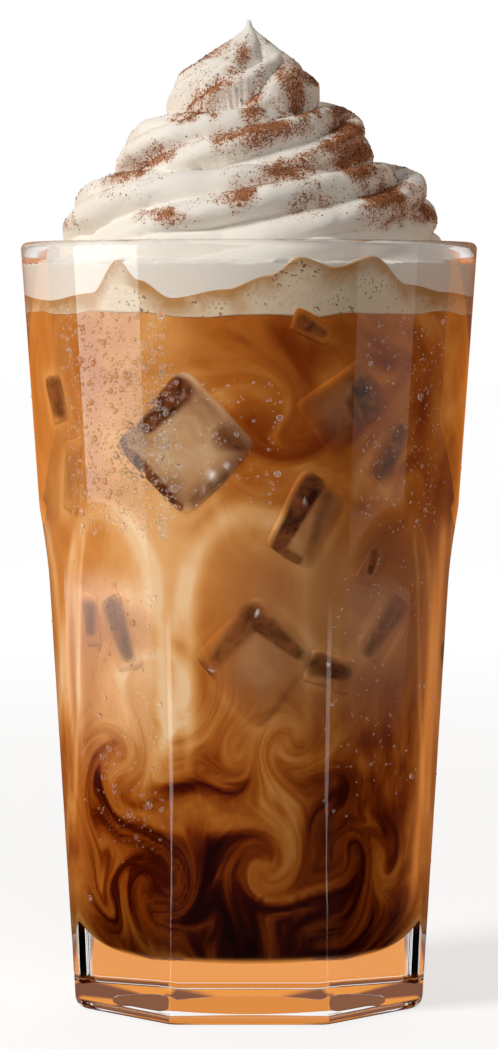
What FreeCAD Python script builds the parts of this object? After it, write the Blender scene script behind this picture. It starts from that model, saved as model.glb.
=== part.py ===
import FreeCAD, Part
import math
import os
import Sketcher

# An iced latte with whipped cream in a tall panelled tumbler.
# Millimetres, +Z up. The origin is the middle of the foot, on the surface the glass stands on, and
# +X, +Y and the directions between them face the middle of one of the eight side panels.
#
# Four pieces, each a solid of its own:
#   glass          a thick tumbler, round from rim to shoulder, with eight flat panels below it that
#                  end in arches and leave narrow round pillars between them
#   coffee         coffee and milk, from the cavity's floor up to the drink's level
#   milk_foam      the foam on the drink, with a scalloped upper side
#   whipped_cream  a piped star rope that winds up in a spiral and ends in a twisted bulb with a nib

# Alias, size in millimetres (or a count, a share or degrees, as said), and what it is.
SIZES = [
    ("GlassHeight", 150.0, "foot to rim"),
    ("RimRadius", 45.1, "outer radius at the rim"),
    ("RimWall", 2.8, "wall at the rim"),
    ("LipRadius", 1.3, "rounding of the lip"),
    ("ShoulderHeight", 99.0, "height where the pillars leave the upper cone"),
    ("ShoulderInset", 3.5, "how much narrower than the rim the shoulder is, on the radius"),
    ("PillarFootInset", 8.2, "how far inside the rim the pillars are at the foot"),
    ("PanelTopHeight", 82.4, "height where a panel starts to curve out"),
    ("PanelTopInset", 6.2, "how far inside the rim a panel is at that height"),
    ("PanelFootInset", 11.2, "how far inside the rim the four square panels are at the foot"),
    ("DiagonalFootInset", 10.1, "how far inside the rim the four diagonal panels are there"),
    ("PanelCoveRadius", 80.0, "curve at the top of a panel"),
    ("PanelCoveReach", 64.0, "how far up the cut for a panel goes above its top, past the glass"),
    ("PanelsPerSet", 4, "panels in each of the two sets, a count"),
    ("FootRounding", 2.4, "rounding around the foot"),
    ("FootDip", 0.1, "how far a panel's rounding is cut off by the foot's plane"),
    ("BaseThickness", 10.7, "glass under the drink"),
    ("FootWall", 3.9, "square panel to cavity at the foot"),
    ("CavityCornerRadius", 16.0, "rounding around the cavity's floor"),
    ("PuntRadius", 24.0, "hollow under the foot"),
    ("PuntFloorRadius", 15.0, "flat middle of that hollow"),
    ("PuntDepth", 1.0, "depth of that hollow"),
    ("FillDepth", 13.0, "rim down to the drink's level"),
    ("ContentsGap", 0.12, "clearance between the contents and the glass"),
    ("LayerGap", 0.25, "clearance between one layer and the next"),
    ("FoamDepth", 2.2, "thinnest foam at the glass"),
    ("FoamMiddleDepth", 3.5, "foam at the axis"),
    ("FoamScallop", 6.4, "height of the scallops above the thinnest foam"),
    ("FoamScallops", 7, "scallops around the glass, a count"),
    ("CreamContact", 4.0, "rim down to where the cream leaves the wall"),
    ("CreamHeight", 43.7, "rim up to the nib"),
    ("CreamInset", 2.0, "rim's inner edge to the lowest free coil"),
    ("CoilTurns", 2.85, "turns from the nib down to the rim, a count"),
    ("CoilPitch", 12.4, "drop of one turn"),
    ("CoilDrift", 1.2, "how much further out each turn reaches at +X, and less at -X"),
    ("CoilTopDrop", 7.2, "nib down to the start of the coil"),
    ("CoilTilt", 1.4, "how far the coil leans, up at -X"),
    ("CoilEndAngle", 126.0, "direction where the coil ends at the nib, degrees"),
    ("RopeTopRadius", 7.4, "piped rope near the nib"),
    ("RopeGrowth", 1.0, "growth of that radius for each turn down"),
    ("RopeLobes", 6, "lobes of the star nozzle, a count"),
    ("RopeLobeDepth", 0.24, "depth of the grooves, a share of the rope's radius"),
    ("RopeTwist", 1.0, "turns of the star for each turn of the coil"),
    ("BulbRadius", 14.3, "twisted bulb at the top"),
    ("BulbHeight", 13.5, "nib down to the bulb's widest part"),
    ("BulbLobes", 5, "lobes of the bulb, a count"),
    ("BulbLobeDepth", 0.26, "depth of the bulb's grooves, a share of its radius"),
    ("BulbTwist", 70.0, "turn of the bulb's lobes from nib to widest part, degrees"),
    ("NibSlope", 0.3, "radius for each millimetre down from the nib"),
    ("NibRadius", 0.4, "flat end of the nib"),
]

# How finely the two piped layers are worked out.
COLUMNS = 144
CREAM_ROWS = 60
UNDERSIDE_ROWS = 9
MARCH_STEP = 0.9
HALVINGS = 9
EDGE_TOLERANCE = 1e-3

doc = FreeCAD.newDocument("iced_latte")


def make_sheet():
    """The spreadsheet with every driving size."""
    sheet = doc.addObject("Spreadsheet::Sheet", "Sizes")
    for row, (alias, value, meaning) in enumerate(SIZES, start=1):
        sheet.set(f"A{row}", meaning)
        sheet.set(f"B{row}", str(value))
        sheet.setAlias(f"B{row}", alias)
    doc.recompute()
    return sheet


SHEET = make_sheet()


def size(expression):
    """The number that an expression on the sheet's aliases gives."""
    return float(SHEET.evalExpression(expression))


def bound(expression):
    """The same expression as another object writes it, with the sheet's name before each alias."""
    words = expression.replace("(", "( ").replace(")", " )").split()
    aliases = {alias for alias, _, _ in SIZES}
    return " ".join(f"Sizes.{word}" if word in aliases else word for word in words)


PANEL_TOP = "RimRadius - PanelTopInset"
COVE_END = "PanelTopHeight + PanelCoveReach"


# ---------------------------------------------------------------------------------------------
# Sketches
# ---------------------------------------------------------------------------------------------


def origin_feature(body, role):
    """A plane or axis of the body's own origin."""
    return next(o for o in body.Origin.OriginFeatures if o.Role == role)


def upright_sketch(body, name, turn=0.0):
    """A sketch on the body's XZ plane, turned about the vertical: its x is radial and its y is up."""
    sketch = body.newObject("Sketcher::SketchObject", name)
    sketch.AttachmentSupport = (origin_feature(body, "XZ_Plane"), [""])
    sketch.MapMode = "FlatFace"
    sketch.AttachmentOffset = FreeCAD.Placement(
        FreeCAD.Vector(), FreeCAD.Rotation(FreeCAD.Vector(0, 1, 0), turn)
    )
    return sketch


def constrain(sketch, kind, place, expression):
    """Adds a sized constraint that stays bound to the sheet."""
    at = sketch.addConstraint(Sketcher.Constraint(kind, *place, size(expression)))
    label = f"{kind}{at}"
    sketch.renameConstraint(at, label)
    sketch.setExpression(f"Constraints.{label}", bound(expression))


def pin_point(sketch, line, end, across, up):
    """Holds a line's end at (across, up), each an expression, or None where it is free."""
    for kind, axis, expression in (("DistanceX", -2, across), ("DistanceY", -1, up)):
        if expression == "0":
            sketch.addConstraint(Sketcher.Constraint("PointOnObject", line, end, axis))
        elif expression is not None:
            constrain(sketch, kind, (-1, 1, line, end), expression)


def closed_outline(sketch, corners):
    """A closed outline of straight lines through corners, each a pair of expressions."""
    points = [FreeCAD.Vector(size(x), size(y), 0) for x, y in corners]
    count = len(corners)
    for i in range(count):
        sketch.addGeometry(Part.LineSegment(points[i], points[(i + 1) % count]), False)
    for i in range(count):
        sketch.addConstraint(
            Sketcher.Constraint("Coincident", i, 2, (i + 1) % count, 1)
        )
        pin_point(sketch, i, 1, *corners[i])


def line_between(sketch, start, stop):
    """A straight line between two points."""
    ends = (FreeCAD.Vector(*start, 0), FreeCAD.Vector(*stop, 0))
    return sketch.addGeometry(Part.LineSegment(*ends), False)


def arc_between(sketch, centre, radius, first, last):
    """An arc that runs anticlockwise from one angle to another, in radians."""
    circle = Part.Circle(FreeCAD.Vector(*centre, 0), FreeCAD.Vector(0, 0, 1), radius)
    return sketch.addGeometry(Part.ArcOfCircle(circle, first, last), False)


def panel_outline(sketch, foot_inset):
    """The space outside one panel: round the foot, up the leaning face, out along the cove and round
    past the glass."""
    foot = size(f"RimRadius - {foot_inset}")
    top = (size(PANEL_TOP), size("PanelTopHeight"))
    lean = math.atan2(top[1], top[0] - foot)
    normal = (math.sin(lean), -math.cos(lean))
    cove_r = size("PanelCoveRadius")
    cove_mid = (top[0] + cove_r * normal[0], top[1] + cove_r * normal[1])
    rise = size(COVE_END) - cove_mid[1]
    cove_end = math.pi - math.asin(rise / cove_r)
    foot_r = size("FootRounding")
    foot_z = size("FootRounding - FootDip")
    along = (foot_z + foot_r * -normal[1]) / math.sin(lean)
    foot_x = foot + along * math.cos(lean) - foot_r * normal[0]
    start = (foot_x + foot_r * normal[0], foot_z + foot_r * normal[1])
    floor_x = foot_x + math.sqrt(foot_r**2 - foot_z**2)
    far = size("RimRadius * 2")
    lid_z = cove_mid[1] + rise

    corner = arc_between(
        sketch, (foot_x, foot_z), foot_r, -math.asin(foot_z / foot_r), lean - math.pi / 2
    )
    face = line_between(sketch, start, top)
    cove = arc_between(sketch, cove_mid, cove_r, cove_end, lean + math.pi / 2)
    lid = line_between(sketch, (cove_mid[0] + cove_r * math.cos(cove_end), lid_z), (far, lid_z))
    side = line_between(sketch, (far, lid_z), (far, 0.0))
    floor = line_between(sketch, (far, 0.0), (floor_x, 0.0))
    heel = sketch.addGeometry(Part.Point(FreeCAD.Vector(foot, 0, 0)), True)
    pin_point(sketch, heel, 1, f"RimRadius - {foot_inset}", "0")
    pin_point(sketch, face, 2, PANEL_TOP, "PanelTopHeight")
    pin_point(sketch, corner, 3, None, "FootRounding - FootDip")
    constrain(sketch, "Radius", (corner,), "FootRounding")
    constrain(sketch, "Radius", (cove,), "PanelCoveRadius")
    for constraint in (
        ("PointOnObject", heel, 1, face),
        ("Tangent", corner, 2, face, 1),
        ("Tangent", face, 2, cove, 2),
        ("Coincident", cove, 1, lid, 1),
        ("Coincident", lid, 2, side, 1),
        ("Coincident", side, 2, floor, 1),
        ("Coincident", floor, 2, corner, 1),
        ("Horizontal", lid),
        ("Vertical", side),
        ("Horizontal", floor),
    ):
        sketch.addConstraint(Sketcher.Constraint(*constraint))
    pin_point(sketch, lid, 1, None, COVE_END)
    pin_point(sketch, side, 2, "RimRadius * 2", "0")


MOUTH = "RimRadius - RimWall"
CAVITY_FOOT = "RimRadius - PanelFootInset - FootWall"
CAVITY_DRAFT = (
    f"atan( ( {MOUTH} - ( {CAVITY_FOOT} ) ) / ( GlassHeight - BaseThickness ) )"
)


def cavity_radius(height, inset=0.0):
    """The cavity's radius on its straight wall at a height, less an inset square to the wall."""
    lean = math.radians(size(CAVITY_DRAFT))
    at_foot = size(CAVITY_FOOT)
    return (
        at_foot
        + (height - size("BaseThickness")) * math.tan(lean)
        - inset / math.cos(lean)
    )


def cavity_outline(sketch, inset, top):
    """Half of the cavity: floor, rounded corner and leaning wall, all moved in by inset, up to top."""
    gap = size(inset)
    lean = math.radians(size(CAVITY_DRAFT))
    radius = size(f"CavityCornerRadius - {inset}")
    floor_z = size(f"BaseThickness + {inset}")
    centre_z = floor_z + radius
    centre_r = cavity_radius(centre_z, gap) - radius / math.cos(lean)
    wall_end = (cavity_radius(size(top), gap), size(top))
    bend = (
        centre_r + radius * math.cos(lean),
        centre_z - radius * math.sin(lean),
    )

    floor = line_between(sketch, (0, floor_z), (centre_r, floor_z))
    corner = arc_between(sketch, (centre_r, centre_z), radius, -math.pi / 2, -lean)
    wall = line_between(sketch, bend, wall_end)
    lid = line_between(sketch, wall_end, (0, wall_end[1]))
    axis = line_between(sketch, (0, wall_end[1]), (0, floor_z))
    for constraint in (
        ("Tangent", floor, 2, corner, 1),
        ("Tangent", corner, 2, wall, 1),
        ("Coincident", wall, 2, lid, 1),
        ("Coincident", lid, 2, axis, 1),
        ("Coincident", axis, 2, floor, 1),
        ("Horizontal", floor),
        ("Horizontal", lid),
    ):
        sketch.addConstraint(Sketcher.Constraint(*constraint))
    pin_point(sketch, floor, 1, "0", f"BaseThickness + {inset}")
    pin_point(sketch, axis, 1, "0", None)
    constrain(sketch, "Radius", (corner,), f"CavityCornerRadius - {inset}")
    slope = f"tan( {CAVITY_DRAFT} )"
    reach = f"( {top} - BaseThickness ) * {slope} - {inset} / cos( {CAVITY_DRAFT} )"
    pin_point(sketch, wall, 2, f"{CAVITY_FOOT} + {reach}", top)
    constrain(sketch, "Angle", (-2, 1, wall, 1), f"-1 * {CAVITY_DRAFT}")


# ---------------------------------------------------------------------------------------------
# The glass and the drink
# ---------------------------------------------------------------------------------------------


def turned(body, kind, name, sketch):
    """A Revolution or Groove of a whole turn about the sketch's vertical axis."""
    feature = body.newObject(f"PartDesign::{kind}", name)
    feature.Profile = sketch
    feature.ReferenceAxis = (sketch, ["V_Axis"])
    feature.Angle = 360
    return feature


def edges_where(feature, test):
    """The names of a feature's edges that pass a test."""
    return [
        f"Edge{i}" for i, edge in enumerate(feature.Shape.Edges, start=1) if test(edge)
    ]


def rounded(body, name, base, test, expression):
    """A fillet of the base's edges that pass a test."""
    doc.recompute()
    fillet = body.newObject("PartDesign::Fillet", name)
    fillet.Base = (base, edges_where(base, test))
    fillet.setExpression("Radius", bound(expression))
    return fillet


def cut_panels(body, name, foot_inset, turn):
    """One set of panels: a flat cut with a cove at its top, repeated about the axis."""
    sketch = upright_sketch(body, f"{name}_outline", turn)
    panel_outline(sketch, foot_inset)
    pocket = body.newObject("PartDesign::Pocket", name)
    pocket.Profile = sketch
    pocket.SideType = "Symmetric"
    pocket.setExpression("Length", bound("RimRadius * 2"))
    doc.recompute()
    pattern = body.newObject("PartDesign::PolarPattern", f"{name}_around")
    pattern.Originals = [pocket]
    pattern.Axis = (origin_feature(body, "Z_Axis"), [""])
    pattern.Angle = 360
    pattern.setExpression("Occurrences", bound("PanelsPerSet"))
    body.Tip = pattern
    doc.recompute()
    return pattern


def make_glass():
    """The tumbler: a turned blank, cut by panels, hollowed, and rounded at its lip and foot."""
    body = doc.addObject("PartDesign::Body", "glass")
    blank = upright_sketch(body, "blank_outline")
    closed_outline(
        blank,
        [
            ("0", "0"),
            ("RimRadius - PillarFootInset", "0"),
            ("RimRadius - ShoulderInset", "ShoulderHeight"),
            ("RimRadius", "GlassHeight"),
            ("0", "GlassHeight"),
        ],
    )
    rounded(
        body,
        "foot_rounding",
        turned(body, "Revolution", "blank", blank),
        lambda edge: edge.BoundBox.ZMax < EDGE_TOLERANCE,
        "FootRounding",
    )
    doc.recompute()
    cut_panels(body, "square_panel", "PanelFootInset", 0.0)
    cut_panels(body, "diagonal_panel", "DiagonalFootInset", 45.0)
    cavity = upright_sketch(body, "cavity_outline")
    cavity_outline(cavity, "0", "GlassHeight")
    hollow = turned(body, "Groove", "cavity", cavity)
    doc.recompute()
    rim_z = size("GlassHeight")
    rounded(
        body,
        "lip",
        hollow,
        lambda edge: edge.BoundBox.ZMin > rim_z - EDGE_TOLERANCE,
        "LipRadius",
    )
    doc.recompute()
    punt = upright_sketch(body, "punt_outline")
    closed_outline(
        punt,
        [
            ("0", "0"),
            ("PuntRadius", "0"),
            ("PuntFloorRadius", "PuntDepth"),
            ("0", "PuntDepth"),
        ],
    )
    turned(body, "Groove", "punt", punt)
    doc.recompute()
    return body


def make_coffee():
    """The drink: the cavity's shape, moved in by the contents' gap, up to the drink's level."""
    body = doc.addObject("PartDesign::Body", "coffee")
    fill = upright_sketch(body, "fill_outline")
    cavity_outline(fill, "ContentsGap", "GlassHeight - FillDepth")
    turned(body, "Revolution", "fill", fill)
    doc.recompute()
    return body


# ---------------------------------------------------------------------------------------------
# The foam and the cream: closed smooth surfaces through rings of points about the axis
# ---------------------------------------------------------------------------------------------

TURN = 2 * math.pi
ANGLES = [TURN * i / COLUMNS for i in range(COLUMNS)]
RIM_Z = size("GlassHeight")
LEVEL_Z = size("GlassHeight - FillDepth")
NIB_Z = size("GlassHeight + CreamHeight")
WALL_GAP = size("ContentsGap")


def smooth(x):
    """0 below 0, 1 above 1 and an even S between them."""
    x = min(1.0, max(0.0, x))
    return x * x * (3 - 2 * x)


def scallop(angle):
    """0 where the cream dips lowest at the glass and 1 where the foam rises highest."""
    phase = size_of["FoamScallops"] * angle / 2 + 0.7 * math.sin(2 * angle + 0.6)
    even = math.sin(phase) ** 2
    return even**1.5 * (0.72 + 0.28 * math.sin(angle * 3 + 1.0))


def layer_height(radius, angle):
    """The height where foam and cream meet: scalloped at the glass and level at the axis."""
    s = size_of
    at_glass = LEVEL_Z + s["FoamDepth"] + s["FoamScallop"] * scallop(angle)
    middle = LEVEL_Z + s["FoamMiddleDepth"]
    share = smooth((radius / cavity_wall(LEVEL_Z) - 0.45) / 0.5)
    return middle + (at_glass - middle) * share


def cavity_wall(height):
    """The contents' outer radius at a height."""
    return WALL_FOOT + (height - s_base) * WALL_SLOPE


def lobed(angle, lobes, depth):
    """The radius share of a star with round lobes and sharp grooves: 1 on a lobe, 1 - depth in a groove."""
    return 1 - depth + depth * abs(math.cos(lobes * angle / 2))


def coil_radius(turn, angle):
    """Axis to the coil's centre line, some turns down from its start, in one direction."""
    step = COIL_FOOT / size_of["CoilTurns"] + size_of["CoilDrift"] * math.cos(angle)
    return min(step * turn, COIL_FOOT)


def rope(radius, angle, z):
    """How far a point lies outside the coiled rope, below 0 inside it. Each turn that passes this
    direction is a star with its centre on the coil; the nearest one counts."""
    s = size_of
    turns_total = s["CoilTurns"] + 1.0
    first = (math.radians(s["CoilEndAngle"]) - angle) / TURN % 1.0
    tilt = -s["CoilTilt"] * math.cos(angle)
    nearest = math.inf
    turn = first
    while turn < turns_total:
        section = s["RopeTopRadius"] + s["RopeGrowth"] * turn
        across = radius - coil_radius(turn, angle)
        up = z - (NIB_Z - s["CoilTopDrop"] - s["CoilPitch"] * turn + tilt)
        away = math.hypot(across, up)
        if away - section < nearest:
            around = math.atan2(up, across) + s["RopeTwist"] * TURN * turn
            star = lobed(around, s["RopeLobes"], s["RopeLobeDepth"])
            nearest = min(nearest, away - section * star)
        turn += 1.0
    return nearest


def bulb(radius, angle, z):
    """How far a point lies outside the twisted bulb: its radius grows in an S from the nib down."""
    s = size_of
    drop = NIB_Z - z
    if drop < 0:
        return max(radius, -drop)
    share = min(drop / s["BulbHeight"], 1.0)
    grown = s["BulbRadius"] * smooth(share) + s["NibSlope"] * drop * (1 - share)
    turned_by = angle + math.radians(s["BulbTwist"]) * share
    star = lobed(turned_by, s["BulbLobes"], s["BulbLobeDepth"] * smooth(share * 2))
    below = drop - s["BulbHeight"] * 1.2
    return max(radius - max(grown, s["NibRadius"]) * star, below)


def core(radius, angle, z):
    """How far a point lies outside the cream's middle, which fills the coil up to its centre line."""
    s = size_of
    turn = (NIB_Z - s["CoilTopDrop"] - z) / s["CoilPitch"]
    return radius - coil_radius(turn, angle)


def cream(radius, angle, z):
    """How far a point lies outside the cream. In the glass it is cut off by the cavity's wall."""
    fill = z - (RIM_Z - size_of["CreamContact"])
    outside = min(rope(radius, angle, z), bulb(radius, angle, z), core(radius, angle, z), fill)
    if z < RIM_Z:
        outside = max(outside, radius - cavity_wall(z))
    return outside


def outermost(angle, elevation, start_z):
    """Where a ray from the axis, looked at from far outside, first meets the cream: (radius, z)."""
    across, up = math.cos(elevation), math.sin(elevation)

    def outside(reach):
        return cream(reach * across, angle, start_z + reach * up)

    reach = math.hypot(size_of["RimRadius"], NIB_Z - start_z)
    while reach > MARCH_STEP and outside(reach) > 0:
        reach -= MARCH_STEP
    low, high = reach, reach + MARCH_STEP
    for _ in range(HALVINGS):
        middle = (low + high) / 2
        if outside(middle) > 0:
            high = middle
        else:
            low = middle
    return low * across, start_z + low * up


def ring(radius, height):
    """One ring of points; radius and height are numbers or functions of the angle."""
    points = []
    for angle in ANGLES:
        r = radius(angle) if callable(radius) else radius
        z = height(angle) if callable(height) else height
        points.append(FreeCAD.Vector(r * math.cos(angle), r * math.sin(angle), z))
    return points


def closed_solid(rings):
    """A solid with one smooth surface whose poles are the rings, from the lowest ring up and round to
    the last, and a small flat cap on each end. The surface is cubic, and periodic about the axis."""
    surface = Part.BSplineSurface()
    spans = len(rings) - 3
    ends = [4] + [1] * (spans - 1) + [4]
    surface.buildFromPolesMultsKnots(
        rings,
        ends,
        [1] * (COLUMNS + 1),
        [float(i) for i in range(spans + 1)],
        [float(i) for i in range(COLUMNS + 1)],
        False,
        True,
        3,
        3,
    )
    side = surface.toShape()
    caps = [
        Part.Face(Part.Wire(edge))
        for edge in side.Edges
        if edge.isClosed() and edge.BoundBox.ZLength < EDGE_TOLERANCE
    ]
    shell = Part.Shell([side, *caps])
    shell.sewShape()
    return Part.Solid(shell)


def underside_rings(height_of, lift):
    """Rings across the face between foam and cream, from the axis out to the glass."""
    wall = cavity_wall(LEVEL_Z)
    tip = size_of["NibRadius"]
    rings = [ring(tip, LEVEL_Z + size_of["FoamMiddleDepth"] + lift)]
    for row in range(1, UNDERSIDE_ROWS):
        share = row / UNDERSIDE_ROWS
        radius = tip + (wall - tip) * share
        rings.append(ring(radius, lambda a, r=radius: height_of(r, a) + lift))
    return rings


def make_foam():
    """The foam: flat below, against the glass at its side, and scalloped above."""
    half = size_of["LayerGap"] / 2
    floor_z = LEVEL_Z + size_of["LayerGap"]
    wall = cavity_wall(floor_z)
    tip = size_of["NibRadius"]

    def top(angle):
        return layer_height(wall, angle) - half

    below = [
        ring(tip + (wall - tip) * row / UNDERSIDE_ROWS, floor_z)
        for row in range(UNDERSIDE_ROWS)
    ]
    corner = [ring(wall, floor_z)] * 2
    side = [
        ring(
            lambda a, t=share: cavity_wall(floor_z + (top(a) - floor_z) * t),
            lambda a, t=share: floor_z + (top(a) - floor_z) * t,
        )
        for share in (0.33, 0.67, 0.97)
    ]
    above = underside_rings(layer_height, -half)[::-1]
    rings = below + corner + side + above
    piece = doc.addObject("Part::Feature", "milk_foam")
    piece.Shape = closed_solid(rings)
    return piece


def make_cream():
    """The cream: its scalloped underside, then rows of rays from the glass up to the nib."""
    half = size_of["LayerGap"] / 2
    start_z = RIM_Z - size_of["CreamContact"]
    wall = cavity_wall(LEVEL_Z)

    def edge_z(angle):
        return layer_height(wall, angle) + half

    rings = underside_rings(layer_height, half)
    lowest = {a: math.atan2(edge_z(a) - start_z, cavity_wall(edge_z(a))) for a in ANGLES}
    for row in range(CREAM_ROWS):
        share = row / CREAM_ROWS
        points = []
        for angle in ANGLES:
            elevation = lowest[angle] + (math.pi / 2 - lowest[angle]) * share
            r, z = outermost(angle, elevation, start_z)
            points.append(FreeCAD.Vector(r * math.cos(angle), r * math.sin(angle), z))
        rings.append(points)
    rings.append(ring(size_of["NibRadius"], NIB_Z))
    piece = doc.addObject("Part::Feature", "whipped_cream")
    piece.Shape = closed_solid(rings)
    return piece


size_of = {alias: size(alias) for alias, _, _ in SIZES}
s_base = size_of["BaseThickness"]
WALL_FOOT = cavity_radius(s_base, WALL_GAP)
WALL_SLOPE = math.tan(math.radians(size(CAVITY_DRAFT)))
COIL_FOOT = (
    size(MOUTH)
    - size_of["CreamInset"]
    - size_of["RopeTopRadius"]
    - size_of["RopeGrowth"] * size_of["CoilTurns"]
)


def check_and_write(pieces):
    """Stops at a failed feature or a bad solid, then writes one STEP file for each piece."""
    doc.recompute()
    failed = [
        o.Name for o in doc.Objects if {"Invalid", "Error"}.intersection(o.State)
    ]
    if failed:
        raise RuntimeError(f"these objects failed: {failed}")
    os.makedirs("parts", exist_ok=True)
    for piece in pieces:
        shape = piece.Shape
        if shape.isNull() or not shape.isValid() or len(shape.Solids) != 1:
            raise RuntimeError(f"{piece.Label} is not one valid solid")
        print(
            f"{piece.Label}: {shape.Volume / 1000:.1f} ml, {len(shape.Faces)} faces, "
            f"z {shape.BoundBox.ZMin:.2f} to {shape.BoundBox.ZMax:.2f}"
        )
    for piece in pieces:
        piece.Shape.exportStep(f"parts/{piece.Label}.step")


check_and_write([make_glass(), make_coffee(), make_foam(), make_cream()])
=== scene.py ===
import math
from types import SimpleNamespace

import bpy
import numpy as np
from bpy.props import (FloatProperty, FloatVectorProperty, IntProperty, PointerProperty)
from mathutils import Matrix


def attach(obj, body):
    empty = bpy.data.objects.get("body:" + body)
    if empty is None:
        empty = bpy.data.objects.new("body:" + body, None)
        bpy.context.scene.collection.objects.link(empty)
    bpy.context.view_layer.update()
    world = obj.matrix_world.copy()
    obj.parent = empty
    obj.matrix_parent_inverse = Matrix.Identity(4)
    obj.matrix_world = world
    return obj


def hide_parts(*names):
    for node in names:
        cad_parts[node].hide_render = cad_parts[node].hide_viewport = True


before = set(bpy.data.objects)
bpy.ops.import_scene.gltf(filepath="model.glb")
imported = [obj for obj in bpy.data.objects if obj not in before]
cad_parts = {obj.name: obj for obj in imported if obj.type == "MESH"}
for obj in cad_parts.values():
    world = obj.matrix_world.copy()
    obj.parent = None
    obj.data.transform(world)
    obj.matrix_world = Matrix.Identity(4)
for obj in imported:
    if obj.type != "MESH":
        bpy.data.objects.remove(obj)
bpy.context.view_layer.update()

bl_info = {
    "name": "Iced Latte",
    "version": (1, 0, 0),
    "blender": (4, 5, 0),
    "location": "3D View > Sidebar > Latte",
    "description": "Makes an iced latte with whipped cream in a panelled tumbler",
    "category": "Add Mesh",
}

# Shapes are worked out in millimetres and made in metres. Angles are radians about +Z from +X, so
# FRONT looks at the camera.
MM = 0.001
TURN = 2 * math.pi
FRONT = -math.pi / 2
PANELS = 8  # flat panels around the glass
NEAR_AXIS = 0.3  # where rings of points stop short of the axis (mm)
WALL_RADIUS = 36.0  # the radius at which the drink's wall is unrolled (mm)
# The drink and the ice glow with a share of their own colour: painted light that lifts their shade.
GLOW_LOSS = 0.83  # the share of their colour that the drink and the ice don't glow with
FRONT_REACH = 1.9  # how far round from the front the drink's painted light and shade go (radians)
GOLDEN = 0.618  # the golden ratio, which spreads repeated things without a pattern


# --- Sizes and colours ---


def number(name, description, default, **kind):
    """A plain number, or one of a kind."""
    return FloatProperty(name=name, description=description, default=default, **kind)


def length(name, description, millimetres):
    """A length property, kept in metres, with its default given in millimetres."""
    return number(name, description, millimetres * MM, unit="LENGTH", precision=5)


def angle_of(name, description, degrees):
    """An angle property, kept in radians, with its default given in degrees."""
    return number(name, description, math.radians(degrees), subtype="ANGLE")


def share(name, description, default):
    """A number from 0 to 1."""
    return number(name, description, default, min=0, max=1, subtype="FACTOR")


def count(name, description, default):
    """A whole number."""
    return IntProperty(name=name, description=description, default=default, min=0)


def colour(name, description, default):
    """A colour, as linear red, green and blue."""
    return FloatVectorProperty(
        name=name,
        description=description,
        default=default,
        size=3,
        min=0,
        max=1,
        subtype="COLOR",
    )


class LatteGlass(bpy.types.PropertyGroup):
    """The tumbler's sizes."""

    height: length("Height", "Foot to rim", 150.0)
    rim_radius: length("Rim radius", "Outer radius at the rim", 45.1)
    rim_wall: length("Rim wall", "Wall at the rim", 2.8)
    lip_radius: length("Lip", "Rounding of the lip", 1.3)
    shoulder_height: length("Shoulder height", "Where the pillars begin", 99.0)
    shoulder_inset: length("Shoulder inset", "How far inside the rim it is", 3.5)
    pillar_inset: length("Pillar inset", "Rim to the pillars at the foot", 8.2)
    panel_top: length("Panel top", "Height where a panel starts to curve out", 82.4)
    panel_top_inset: length("Panel top inset", "Rim to a panel at that height", 6.2)
    square_inset: length("Square inset", "Rim to the square panels' foot", 11.2)
    diagonal_inset: length("Diagonal inset", "Rim to the diagonal panels' foot", 10.1)
    cove_radius: length("Cove", "Curve at the top of a panel", 80.0)
    foot_rounding: length("Foot rounding", "Rounding around the foot", 2.4)
    edge_softness: length("Edge softness", "Blending of the pressed edges", 0.14)
    base_thickness: length("Base", "Glass under the drink", 10.7)
    foot_wall: length("Foot wall", "Square panel to cavity at the foot", 3.9)
    corner_radius: length("Cavity corner", "Rounding around the cavity's floor", 16.0)
    punt_radius: length("Punt", "Hollow under the foot", 24.0)
    punt_floor_radius: length("Punt floor", "Flat middle of that hollow", 15.0)
    punt_depth: length("Punt depth", "Depth of that hollow", 1.0)
    columns: count("Columns", "Points around the glass", 400)


class LatteDrink(bpy.types.PropertyGroup):
    """The drink's sizes and how it is stirred."""

    fill_depth: length("Fill depth", "Rim down to the drink's level", 13.0)
    into_wall: length("Into wall", "How far the contents reach into the glass", 0.15)
    columns: count("Columns", "Points around the drink", 420)
    rows: count("Rows", "Points up the drink's side", 186)
    eddies: count("Eddies", "Turning spots that stir the milk in", 150)
    eddy_seed: count("Eddy seed", "Which set of eddies", 7)
    wisps: share("Wisps", "Strength of the fine milk threads", 0.42)


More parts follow.
